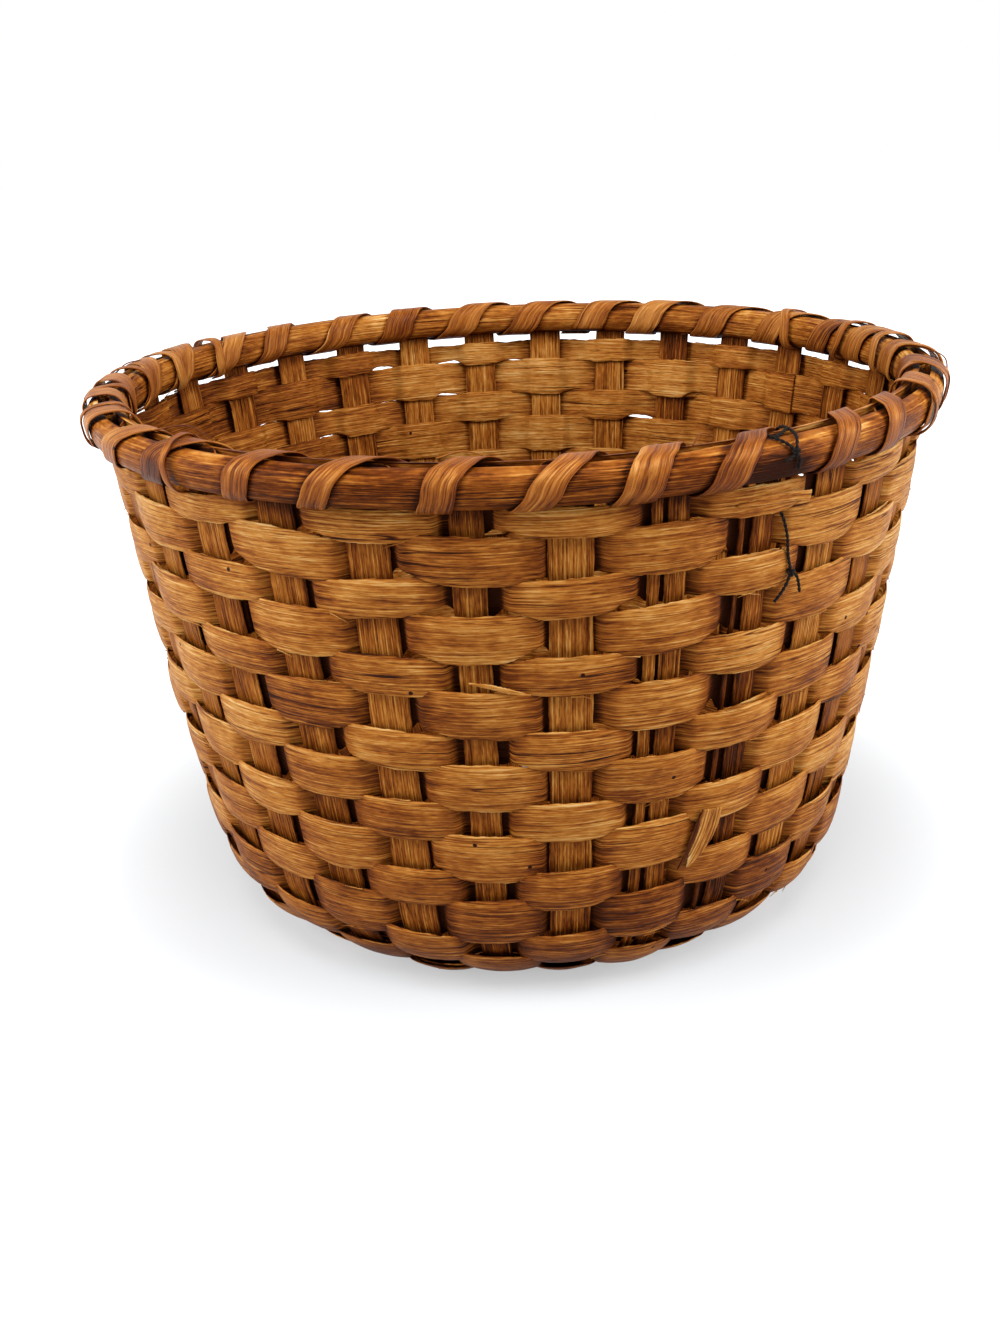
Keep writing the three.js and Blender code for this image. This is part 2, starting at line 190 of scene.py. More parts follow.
def eased(value, start, end):
    """0 up to the start, 1 from the end on, and a gentle slope between."""
    share = np.clip((value - start) / (end - start), 0, 1)
    return share * share * (3 - 2 * share)


def unit(vectors):
    return vectors / np.linalg.norm(vectors, axis=-1, keepdims=True)


def tangents(path):
    return unit(np.gradient(path, axis=0))


def distances(path):
    """How far along a path each of its points is."""
    return np.concatenate([[0], np.cumsum(np.linalg.norm(np.diff(path, axis=0), axis=1))])


def degrees_off(angle, middle):
    """Degrees from a middle to an angle on either side of it."""
    return (np.degrees(angle) + 180) % 360 - 180 - middle


# How the old basket has settled, with heights above the floor
FLOOR_GAP = 0.05
SUNK_HEIGHT = 270  # where the wall has sunk fully
SINK = 0.3
SINK_FRONT = 1.5
SINK_LEFT = 1.4
BELLY = 1.0  # the wall is fuller half way up
BELLY_FOOT = 60
BELLY_HEIGHT = 200
WAIST = 0.9  # and drawn in above the corner
WAIST_AT = 44
WAIST_REACH = 13
RIGHT_BULGE = 0.8
CORE_RADIUS = 60  # the base within it keeps its shape


def settled(points):
    """Points moved to where they are on the old basket."""
    angle = np.arctan2(points[..., 0], -points[..., 1])
    height = points[..., 2]
    share = np.clip(height / SUNK_HEIGHT, 0, 1) ** 2
    drop = share * (SINK + SINK_FRONT * np.cos(angle) - SINK_LEFT * np.sin(angle))
    belly = np.sin(math.pi * np.clip((height - BELLY_FOOT) / BELLY_HEIGHT, 0, 1))
    waist = np.exp(-((height - WAIST_AT) / WAIST_REACH) ** 2)
    full = BELLY * belly - WAIST * waist + RIGHT_BULGE * share * np.maximum(np.sin(angle), 0) ** 2
    radius = np.hypot(points[..., 0], points[..., 1])
    grow = 1 + full / np.maximum(radius, CORE_RADIUS)
    height = np.maximum(height - drop, FLOOR_GAP)
    return np.stack([points[..., 0] * grow, points[..., 1] * grow, height], axis=-1)


# Meshes

def add_object(name, data):
    thing = bpy.data.objects.new(name, data)
    bpy.context.collection.objects.link(thing)
    return thing


def ring_faces(stations, ring, first):
    """Faces of a closed tube of rings, with its two ends."""
    faces = []
    for station in range(stations - 1):
        here = first + station * ring
        for corner in range(ring):
            beside = (corner + 1) % ring
            faces.append((here + corner, here + ring + corner, here + ring + beside, here + beside))
    last = first + (stations - 1) * ring
    faces.append(tuple(first + corner for corner in range(ring)))
    faces.append(tuple(last + corner for corner in reversed(range(ring))))
    return faces


class Skin:
    """Closed strips and tubes gathered into one mesh, with the marks of every vertex."""

    def __init__(self, name):
        self.name = name
        self.chance = seeded(name)
        self.points = []
        self.faces = []
        # The grime mark holds dirt and painted shade, and the wear mark holds wear and painted highlights
        self.marks = {"grain": [], "tone": [], "grime_and_shade": [], "wear_and_sheen": []}
        self.count = 0

    def add_rings(self, points, along, across, tone, grime_and_shade, wear_and_sheen):
        """Rings of points from one end of a tube to the other, with its lengths along and across."""
        stations, ring = points.shape[:2]
        self.faces += ring_faces(stations, ring, self.count)
        self.points.append(points.reshape(-1, 3))
        self.marks["grain"].append(grain_marks(along[:, None], across, self.chance).reshape(-1, 3))
        for key, values in (("tone", tone), ("grime_and_shade", grime_and_shade), ("wear_and_sheen", wear_and_sheen)):
            self.marks[key].append(np.broadcast_to(values, (stations, ring)).reshape(-1))
        self.count += stations * ring

    def add_strip(self, front, back, along, across, tone, grime_and_shade, wear_and_sheen):
        """A strip from the grids of its front and back faces, with the grime and painted shade of each."""
        def around(ahead, behind):
            return np.concatenate([ahead, behind[:, ::-1]], axis=1)

        sides = [np.broadcast_to(values, front.shape[:2]) for values in (tone, wear_and_sheen, *grime_and_shade)]
        tone, wear_and_sheen, front_grime_and_shade, back_grime_and_shade = sides
        self.add_rings(around(front, back), along, around(across, across), around(tone, tone),
                       around(front_grime_and_shade, back_grime_and_shade), around(wear_and_sheen, wear_and_sheen))

    def finish(self, material, stands_for=()):
        """Makes the mesh, with its finish and the marks that its material reads."""
        mesh = bpy.data.meshes.new(self.name)
        points = settled(np.concatenate(self.points)) * MM
        mesh.from_pydata(points.tolist(), [], self.faces)
        for key, parts in self.marks.items():
            values = np.concatenate(parts).astype(np.float32)
            kind, field = ("FLOAT_VECTOR", "vector") if values.ndim == 2 else ("FLOAT", "value")
            mesh.attributes.new(key, kind, "POINT").data.foreach_set(field, values.ravel())
        mesh.polygons.foreach_set("use_smooth", np.ones(len(mesh.polygons), dtype=bool))
        mesh.materials.append(material)
        piece = add_object(self.name, mesh)
        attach(piece, "root")
        if stands_for:
            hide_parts(*stands_for)


# Places across a strip, and the share of its thickness that it has there
ACROSS = np.array([-1.0, -0.95, -0.8, -0.5, -0.17, 0.17, 0.5, 0.8, 0.95, 1.0])
ROUNDED_EDGE = 1 - 0.55 * np.abs(ACROSS) ** 10 - 0.12 * ACROSS ** 2
GRAIN_SEEDS = 90
GRAIN_SHIFT = 0.1


def spanned(low, high):
    """Places across a strip between its two edges, at each station."""
    return low[:, None] + (high - low)[:, None] * (ACROSS + 1) / 2


def edge_mark(power):
    """A mark that grows from a strip's middle to its edges."""
    return np.abs(ACROSS) ** power


def grain_marks(along, across, chance):
    """Place on the strip in metres, and a third number that sets strips apart."""
    seed = chance.uniform(0, GRAIN_SEEDS)
    along, across = np.broadcast_arrays(along, across)
    shift = GRAIN_SHIFT * seed
    return np.stack([along * MM + shift, across * MM + shift, np.full(along.shape, seed)], axis=-1)


def region_shade(angle, height):
    """Painted shade: darker low on the wall and at the front."""
    low = 1 - eased(height, 20, 130)
    front = eased(np.cos(angle), 0.55, 0.97)
    return -0.11 * low - 0.09 * front


# Woven rows. A float is a stretch outside a stake, and places on it are stake steps from its middle
STEPS_PER_STAKE = 36
INSIDE_SEAT = -2.2
OUTSIDE_SEAT = 2.6
GAP_SEAT = 0.5  # standoff in a narrow gap between stakes
GAP_SEAT_WIDE = 1.3  # and what a wide gap adds
NARROW_GAP = 0.34  # place of the stake's edge beside a narrow gap
GAP_RANGE = 0.1
STAKE_SPREAD = 0.5  # the old stakes have flattened this far on each side
FOOT_SPREAD = 8.0  # the lowest row reaches this far under the base
FLOAT_REACH = 0.75  # a float is bowed and swollen up to here
HELD_REACH = 0.85  # and held off by the stake up to here
FAR_SINE = 0.6  # of the angle from which an end turned away from the front counts as far
NEAR_SINE = 0.35  # and one turned to the front as near
KINK_SPAN = 1.0  # shortest length within which a float turns in at its ends
KINK_GAP = 1.6  # times the slack, how far short of the next stake's edge that ends
KINK_SPAN_LIMIT = 0.5  # of the gap between two stakes
KINK_GAP_LIMIT = 0.36
PINCH_START = 0.28  # place where a float begins to narrow
PINCH_END = 0.04  # beyond the kink, where it is as wide again
BACK_PINCH = 0.15  # share of the pinch that the back has
FRAY_STEPS = 9  # stations that a loose fibre runs along
FRAY_TRIES = 22
FRAY_LIMIT = 0.6  # place beyond which a float has no loose fibres
FRAY_RADII = np.linspace(0.38, 0.12, 24)
FRAY_TONE = 0.5
FIBRE_SIDES = 5

# How far rows have slid up at the front, by place along the wall, and the top ones down at the back
SLIDE_PLACES = [60, 150, 190, 230, 250, 285]
SLIDE_UP = [0, 1.5, 2.8, 4.4, 4.0, 3.0]


def floor_room(along):
    """How far a row may stand off the wall above the floor."""
    return (wall_point(along)[1] - FLOOR_GAP) / np.cos(wall_turn(along)) - WEAVER_THICKNESS / 2


def row_slide(along, angle):
    """Rows are packed tighter to the rim at the front than at the back."""
    front = np.cos(angle)
    up = np.interp(along, SLIDE_PLACES, SLIDE_UP)
    down = np.interp(along, [SLIDE_PLACES[0], SLIDE_PLACES[-1]], [0, 0.3])
    return up * np.maximum(front, 0) + down * np.minimum(front, 0)


class Row:
    """The stations along a row, with the float that each is on and its place on that float."""

    def __init__(self, low_edge, width, start_stake, lap):
        self.half_width = width / 2
        self.middle = low_edge + width / 2
        self.foot = FOOT_SPREAD if low_edge == ROW_EDGES[0] else 0
        self.pitch = float(wall_point(self.middle)[0]) * STAKE_STEP
        self.edge = (STAKE_WIDTH / 2 + STAKE_SPREAD) / self.pitch
        tail = FLAT_RUN / self.pitch
        last = STAKE_COUNT + lap
        count = int(round((last + 2 * tail) * STEPS_PER_STAKE)) + 1
        self.station = np.linspace(-tail, last + tail, count)
        self.number = np.clip(np.floor(self.station / 2).astype(int), 0, None)
        self.floats = self.number.max() + 1
        self.side = self.station - (2 * self.number + 1)
        self.end = np.where(self.side < 0, 0, 1)
        self.away = np.abs(self.side)
        self.along = self.station * self.pitch
        self.angle = stake_angle(start_stake) + self.station * STAKE_STEP
        turned = np.sign(self.side) * np.sin(self.angle)
        self.far = np.clip(turned / FAR_SINE, 0, 1)
        self.near = np.clip(-turned / NEAR_SINE, 0, 1)
        self.low = 1 - eased(self.middle, 60, 225)
        self.over = 1 - eased(self.away, 0, FLOAT_REACH)

    def differing(self, usual, far=0.0, near=0.0, low=0.0):
        """A number with what far ends, near ends and low rows add to it."""
        return usual + far * self.far + near * self.near + low * self.low

    def each_float(self, law, **limits):
        """A chance value for every float."""
        return law(**limits, size=self.floats)[self.number]

    def each_end(self, law, **limits):
        """A chance value for both ends of every float."""
        return law(**limits, size=(self.floats, 2))[self.number, self.end]


def row_standoff(row, lap, chance):
    """How far a row stands off the wall. It also notes where each float turns in."""
    bow = row.each_float(chance.uniform, low=0.6, high=2.0)
    slack = row.each_end(chance.exponential, scale=0.45) * (1 - row.near) + 0.7 * row.far
    span = KINK_SPAN + row.each_end(chance.exponential, scale=1.4) + row.differing(0.0, far=4.2, near=4.5)
    room = (1 - 2 * row.edge) * row.pitch
    row.kink_end = 1 - row.edge - np.minimum(KINK_GAP * slack, KINK_GAP_LIMIT * room) / row.pitch
    row.kink = row.kink_end - np.minimum(span, KINK_SPAN_LIMIT * room) / row.pitch
    tucked = eased(row.away, row.kink, row.kink_end)
    held = 1 - eased(row.away, row.edge, HELD_REACH)
    gap_seat = GAP_SEAT + GAP_SEAT_WIDE * np.clip((NARROW_GAP - row.edge) / GAP_RANGE, 0, 1)
    outside = gap_seat + (OUTSIDE_SEAT - gap_seat) * held
    outside = outside + bow * np.cos(np.clip(row.away / FLOAT_REACH, 0, 1) * math.pi / 2) ** 2
    standoff = softened(outside * (1 - tucked) + INSIDE_SEAT * tucked, 1)
    if lap > 0:
        swing = np.cos(math.pi * row.station) / 2
        standoff = standoff - np.where(row.station < lap + 1, LAP_RISE * (0.5 + swing), 0)
        standoff = standoff + np.where(row.station > STAKE_COUNT, LAP_RISE * (0.5 - swing), 0)
    return standoff


def row_edges(row, chance):
    """How far a row's bottom and top edges lie from its middle line."""
    away, differing = row.away, row.differing
    facing = BACK_PINCH + (1 - BACK_PINCH) * eased(np.cos(row.angle), -0.2, 0.3)
    pinch_up = row.each_end(chance.uniform, low=-0.02, high=0.42 - 0.26 * row.low)
    pinch_up = pinch_up * differing(1, far=-0.9) * differing(1, near=-0.75) - 0.08 * row.far
    to_right = np.maximum(np.sin(row.angle), 0)
    pinch_down = row.each_end(chance.uniform, low=0.12, high=0.58) + row.far * (0.16 + 0.16 * to_right)
    pinch_down = pinch_down * differing(1, low=-0.45) * differing(1, near=-0.6)
    swell_up = row.each_float(chance.uniform, low=0.2, high=1.2)
    swell_down = row.each_float(chance.uniform, low=0.5, high=1.8 + row.low)
    corner = row.half_width * facing * eased(away, PINCH_START, row.kink_end)
    corner = corner * (1 - eased(away, row.kink_end - PINCH_END / 2, row.kink_end + PINCH_END))
    behind = eased(away, row.kink - 0.1, row.kink_end + PINCH_END)
    half = row.half_width + differing(0.85, low=1.1) + differing(0.7, low=0.9) * behind
    gape = np.clip(row.each_end(chance.normal, loc=1.1, scale=1.5), 0, 2.8)
    gape = gape * eased(row.middle, 165, 205) * eased(-np.cos(row.angle), 0.1, 0.5)
    gape = gape * eased(away, 0.2, 0.4) * (1 - eased(away, 0.6, 0.8))
    upper = half + swell_up * row.over - pinch_up * corner
    lower = half + swell_down * row.over - pinch_down * corner - gape + row.foot
    skew = row.each_float(chance.normal, scale=1.7) * row.side * facing * (1 - eased(away, FLOAT_REACH, 1))
    nudge = row.each_float(chance.normal, scale=0.5) * row.over
    nudge = nudge + 0.5 * wander(row.along, 420, chance) + skew
    top = softened(upper, 1) + nudge + waves(row.along, ((0.24, 17), (0.1, 5)), chance)
    bottom = -softened(lower, 1) + nudge + waves(row.along, ((0.24, 21), (0.1, 4)), chance)
    return bottom, top


def row_tone(row, height, chance):
    tone = 0.5 + chance.normal(scale=0.03) + row.each_float(chance.normal, scale=0.035) * row.over
    tone = tone + 0.02 * wander(row.along, 130, chance) + region_shade(row.angle, height)
    # Each float lighter to its upper edge and darker to its lower edge: painted light from above
    return tone[:, None] + 0.05 * ACROSS * row.over[:, None]


def row_grime_and_shade(row):
    """Painted shade and dirt, outside most where a row turns in, and inside most by stakes and at the
    sides.
    """
    away, differing = row.away, row.differing
    # Outside, painted shade darkens each float towards its ends, near black where it turns in behind the
    # next stake
    turn_in = row.kink + differing(0.5, far=-0.35) * (row.kink_end - row.kink)
    ends = differing(2.0, near=-1.3) * differing(1, low=-0.4) * eased(away, turn_in, row.kink_end + 0.01)
    flanks = differing(0.7, near=-0.3) * eased(away, 0.4, turn_in)
    # Inside, painted shade around the stake that a float passes over, beside the stakes, and more at the
    # sides of the basket
    beside_stake = 1 - eased(away, row.edge, row.edge + 0.06)
    left, right = (eased(side * np.sin(row.angle), 0.2, 0.8) for side in (-1, 1))
    inside = 0.4 * eased(1 - away, 0.4, 0.8) + 0.6 * beside_stake + 0.85 * left + 0.4 * right
    # Both faces darker along their edges: painted shade between the rows
    return (ends + flanks)[:, None] + 0.3 * edge_mark(8), inside[:, None] + 0.4 * edge_mark(8)


def add_frays(skin, place, surface, row):
    """Fibres that have split off along the edges of floats."""
    chance = skin.chance
    reach = np.linspace(0, 1, FRAY_STEPS) ** 2
    for start in chance.integers(0, len(row.away) - FRAY_STEPS, FRAY_TRIES):
        run = slice(start, start + FRAY_STEPS)
        edge, outward = (0, -1) if chance.random() < 0.5 else (-1, 1)
        peel = chance.uniform(low=0.3, high=1.5)
        way = 1 if chance.random() < 0.5 else -1
        if row.away[run].max() > FRAY_LIMIT:
            continue
        stray = peel * reach[::way]
        lift = surface[run, edge] + 0.5 + stray
        points = on_wall(place[run, edge] + outward * stray, lift, row.angle[run])
        add_tube(skin, points[::way], FRAY_RADII, FRAY_TONE, FIBRE_SIDES)


def weaver_row(name, low_edge, width, start_stake, lap, material):
    """One row, bowed out over every other stake and tucked in behind the rest."""
    skin = Skin(name)
    chance = skin.chance
    row = Row(low_edge, width, start_stake, lap)
    standoff = row_standoff(row, lap, chance)
    across = spanned(*row_edges(row, chance))
    angle = row.angle[:, None]
    place = row.middle + across
    place = place + row_slide(place, angle)
    cup = row.each_float(chance.uniform, low=0.3, high=1.1) * row.over - 0.35 * eased(row.away, 0.8, 1)
    tilt = row.each_float(chance.normal, scale=0.3) * row.over
    surface = standoff[:, None] + cup[:, None] * (0.6 - ACROSS ** 2) + tilt[:, None] * ACROSS
    surface = np.minimum(surface, floor_room(place))
    half = WEAVER_THICKNESS / 2 * ROUNDED_EDGE
    front = on_wall(place, surface + half, angle)
    back = on_wall(place, surface - half, angle)
    tone = row_tone(row, front[:, len(ACROSS) // 2 - 1, 2], chance)
    # Pale edges, most on the floats: wear, and painted highlights where light catches them
    wear_and_sheen = edge_mark(6) * (0.25 + 0.75 * row.over[:, None])
    skin.add_strip(front, back, row.along, across, tone, row_grime_and_shade(row), wear_and_sheen)
    add_frays(skin, place, surface, row)
    skin.finish(material, [name])


# Base splints and stakes
WALL_STEPS = 150
WALL_RUN = np.linspace(ROW_EDGES[0], STAKE_TOP, WALL_STEPS)
BEND_SHARES = np.linspace(0, 1, 14)[1:-1]
BEND_LEAD = 0.35  # how far the bend keeps its direction at both ends, as a share of its span
CROSSING_STEPS = 8
STAKE_GIVE = 0.3
SPLIT_STEPS = 20  # stations from the lowest row within which a stake splits
DARK_STAKE = 6
RIM_DIRT_AND_SHADE = 9  # how far the dirt and painted shade under the rim reaches
# Front stakes that have worn narrow or split, as strips from and to across the stake
SPLIT_STAKES = {
    3: [(-7.2, 7.2)],
    5: [(-8.2, 1.4), (3.6, 9.0)],
    6: [(-8.8, 2.6), (6.6, 9.4)],
}


def splint_path(offset, angle, reach, levels):
    """Centre line and width direction of a splint, from its back top to its front top."""
    spots = np.arange(len(levels)) * BASE_PITCH - reach
    crossings = (spots[:, None] + [-CROSSING_FLAT, CROSSING_FLAT]).ravel()
    flat_end = reach + CROSSING_FLAT
    run = np.linspace(-flat_end, flat_end, CROSSING_STEPS * len(levels))
    height = softened(np.interp(run, crossings, np.repeat(levels, 2)), 1)
    base = np.stack([np.full(run.shape, offset), run, height], axis=-1)

    def half(direction, start):
        """From the base's edge round the corner and up the wall."""
        wall = on_wall(WALL_RUN, 0.0, angle)
        rise = unit(wall[1] - wall[0])
        begin = np.array([offset, -flat_end, start])
        lead = BEND_LEAD * np.linalg.norm(wall[0] - begin)
        leave = begin + np.array([0, -lead, 0])
        arrive = wall[0] - rise * min(lead, (wall[0][2] - start) / rise[2])
        share = BEND_SHARES[:, None]
        bend = ((1 - share) ** 3 * begin + 3 * share * (1 - share) ** 2 * leave
                + 3 * share ** 2 * (1 - share) * arrive + share ** 3 * wall[0])
        return np.concatenate([bend, wall]) * np.array([1, direction, 1])

    centre = np.concatenate([half(-1, height[-1])[::-1], base[::-1], half(1, height[0])])
    upright = np.concatenate([BEND_SHARES, np.ones(WALL_STEPS)])
    lean = angle * np.concatenate([-upright[::-1], np.zeros(len(run)), upright])
    return centre, np.stack([np.cos(lean), np.sin(lean), np.zeros(len(lean))], axis=-1)


def stake_wave(index):
    """The stake gives way a little to each row that presses on it."""
    middles = np.add(ROW_EDGES[:-1], ROW_EDGES[1:]) / 2
    pressed = np.where((index + np.arange(WEAVER_ROWS)) % 2 == 0, -STAKE_GIVE, STAKE_GIVE)
    return np.interp(WALL_RUN, middles, pressed, left=0, right=0)


def base_splint(name, index, count, crossings, first, quarter, material):
    """One base splint with both of its stakes, built along Y and turned into place."""
    skin = Skin(name)
    chance = skin.chance
    stake = first + index
    angle = (index - (count - 1) / 2) * STAKE_STEP
    offset = index * BASE_PITCH - base_reach(count)
    over = (np.arange(crossings) + stake) % 2 == 0
    levels = BASE_LEVEL + np.where(over, PLAIT_RISE, -PLAIT_RISE)
    centre, wide = splint_path(offset, angle, base_reach(crossings), levels)
    along = distances(centre)
    tangent = tangents(centre)
    wide = unit(wide - tangent * np.sum(wide * tangent, axis=1)[:, None])
    outward = np.cross(wide, tangent)[:, None, :]

    wave = np.zeros(len(along))
    wave[-WALL_STEPS:] = stake_wave(stake)
    wave[:WALL_STEPS] = stake_wave(stake + STAKE_COUNT // 2 + count - 1)[::-1]
    wave = softened(wave, 2)
    split_share = np.zeros(len(along))
    split_share[-WALL_STEPS:] = eased(np.arange(WALL_STEPS), 0, SPLIT_STEPS)

    rim_foot = float(wall_point(HOOP_FOOT)[1])
    under_rim = eased(centre[:, 2], rim_foot - RIM_DIRT_AND_SHADE, rim_foot - 1)[:, None]
    # Dirt and painted shade: darker at the edges, under the rim, and where no row presses on the stake, as
    # in the gaps between rows
    grime_and_shade = 0.4 * edge_mark(4) + 0.8 * under_rim + 0.25 * (1 - np.abs(wave)[:, None] / STAKE_GIVE)
    # Inside faces: less of those marks, and painted shade towards the sides of the basket
    at_side = 1 if quarter else eased(abs(math.sin(angle)), 0.2, 0.8)
    inner_grime_and_shade = 0.7 * grime_and_shade + 0.15 * at_side
    shade = region_shade(np.arctan2(centre[:, 0], -centre[:, 1]), centre[:, 2])
    if not quarter and index == DARK_STAKE:
        shade = shade - 0.16

    full = STAKE_WIDTH / 2 + STAKE_SPREAD
    whole = [(-full, full)]
    strips = whole if quarter else SPLIT_STAKES.get(index, whole)
    seams = [-full, full]
    if len(strips) > 1:
        seams.insert(1, (strips[0][1] + strips[1][0]) / 2)
    turn = np.array([[0, -1, 0], [1, 0, 0], [0, 0, 1]]) if quarter else np.eye(3)
    half = STAKE_THICKNESS / 2 * ROUNDED_EDGE
    for (low, high), full_low, full_high in zip(strips, seams, seams[1:]):
        left = full_low + (low - full_low) * split_share + waves(along, ((0.25, 90), (0.1, 14)), chance)
        right = full_high + (high - full_high) * split_share + waves(along, ((0.25, 80), (0.1, 12)), chance)
        across = spanned(left, right)
        cup = 0.25 * wander(along, 120, chance)[:, None] * (1 - ACROSS ** 2)
        spine = centre[:, None, :] - wide[:, None, :] * across[:, :, None]
        shift = wave[:, None] + cup
        front = spine + outward * (shift + half)[:, :, None]
        back = spine + outward * (shift - half)[:, :, None]
        tone = 0.45 + chance.normal(scale=0.035) + 0.03 * wander(along, 150, chance) + shade
        skin.add_strip(front @ turn.T, back @ turn.T, along, across, tone[:, None],
                       (grime_and_shade, inner_grime_and_shade), 0.3 * edge_mark(8))
    skin.finish(material, [name])


# Rim, with shares of the way round its outline counted from underneath and out
RIM_ROUND = 2.7
RIM_MIDDLE = (OUTER_FACE + INNER_FACE) / 2
RIM_HALF = (OUTER_FACE - INNER_FACE) / 2
RIM_LEVEL = (HOOP_FOOT + HOOP_TOP) / 2
RIM_TONE_HEIGHT = 200.0


def rounded(value):
    """A sine or cosine for an outline between an ellipse and a rectangle."""
    return np.sign(value) * np.abs(value) ** (2 / RIM_ROUND)


def rim_profile(share, grow):
    """Standoff and place along the wall of both hoops' outline, at a share of the way round it."""
    turn = math.tau * np.asarray(share)
    standoff = RIM_MIDDLE + (RIM_HALF + grow) * rounded(np.sin(turn))
    along = RIM_LEVEL + (HOOP_HEIGHT / 2 + grow) * rounded(-np.cos(turn))
    return standoff, along


# Lashing
LASHING_STEPS = 44
LASHING_CREST = 0.45  # share of a turn at the top of the outer face
LASHING_SHARES = [0, 0.08, 0.42, 0.58, 0.92, 1]  # where the lashing changes sides
LASHING_TAIL = LASHING_STEPS // 8  # steps that the last turn is short of
# How far front wraps have slipped below and above, in stake steps, by the gap where they start
WRAP_SLIPS = {
    0: (0.2, 0.0), 1: (0.02, -0.06), 2: (0.24, 0.0), 4: (0.02, -0.16), 5: (-0.2, -0.24), 6: (0.18, 0.02),
}
NARROW_AT = -28  # degrees, round which the wraps are narrower
SHADE_REACH = 1.8


class Lashing:
    """The path of the splint wound round both hoops, once in every gap between stakes."""

    def __init__(self):
        chance = seeded("rim_lashing_path")
        self.turns = np.arange(STAKE_COUNT * LASHING_STEPS - LASHING_TAIL) / LASHING_STEPS
        self.share = self.turns % 1
        self.number = np.floor(self.turns).astype(int)
        inside = 1 - LASHING_UNDER - LASHING_OUTSIDE - LASHING_ABOVE
        legs = [0, LASHING_UNDER / 2, LASHING_OUTSIDE, LASHING_ABOVE, inside, LASHING_UNDER / 2]
        gap = LASHING_START_GAP + self.number + np.interp(self.share, LASHING_SHARES, np.cumsum(legs))
        slips = [chance.uniform(*limits, STAKE_COUNT) for limits in ((-0.1, 0.12), (-0.16, 0.08))]
        slips = np.stack(slips, axis=-1)
        for wrap, slip in WRAP_SLIPS.items():
            slips[(wrap - LASHING_START_GAP) % STAKE_COUNT] = slip
        nodes = np.arange(STAKE_COUNT)[:, None] + np.array([0, LASHING_CREST])
        gap = softened(gap + np.interp(self.turns, nodes.ravel(), slips.ravel()), 2)
        self.angle = stake_angle(gap) + STAKE_STEP / 2
        front = eased(np.cos(self.angle), 0.0, 0.7)
        left = np.exp(-(degrees_off(self.angle, NARROW_AT) / 20) ** 2)
        narrow = 0.1 * front + 0.14 * left - 0.12 * (1 - front)
        self.half_span = LASHING_SPAN / 2 * (1 + 0.08 * wander(self.turns, 5.3, chance) - narrow)

    def shade(self, angle, share):
        """How near a wrap's edge is at a share of the outline: 1 beside it, 0 far off."""
        stations = ((np.arange(STAKE_COUNT) + share) * LASHING_STEPS).astype(int)
        stations = np.minimum(stations, len(self.turns) - 1)
        off = angle[:, None] - self.angle[stations]
        off = np.abs((off + math.pi) % math.tau - math.pi) * RIM_RADIUS
        clear = np.min(off - self.half_span[stations], axis=1)
        return np.exp(-(np.maximum(clear, 0) / SHADE_REACH) ** 2)


LASHING = Lashing()

# Hoops
HOOP_STATIONS = 1000
HOOP_TILTS = np.linspace(-1, 1, 17)  # from a hoop's foot to its top
WRAP_TILT = 0.2  # share of the outline from a hoop's middle to its edges
STAIN_AT = 30.5  # degrees, under the twine


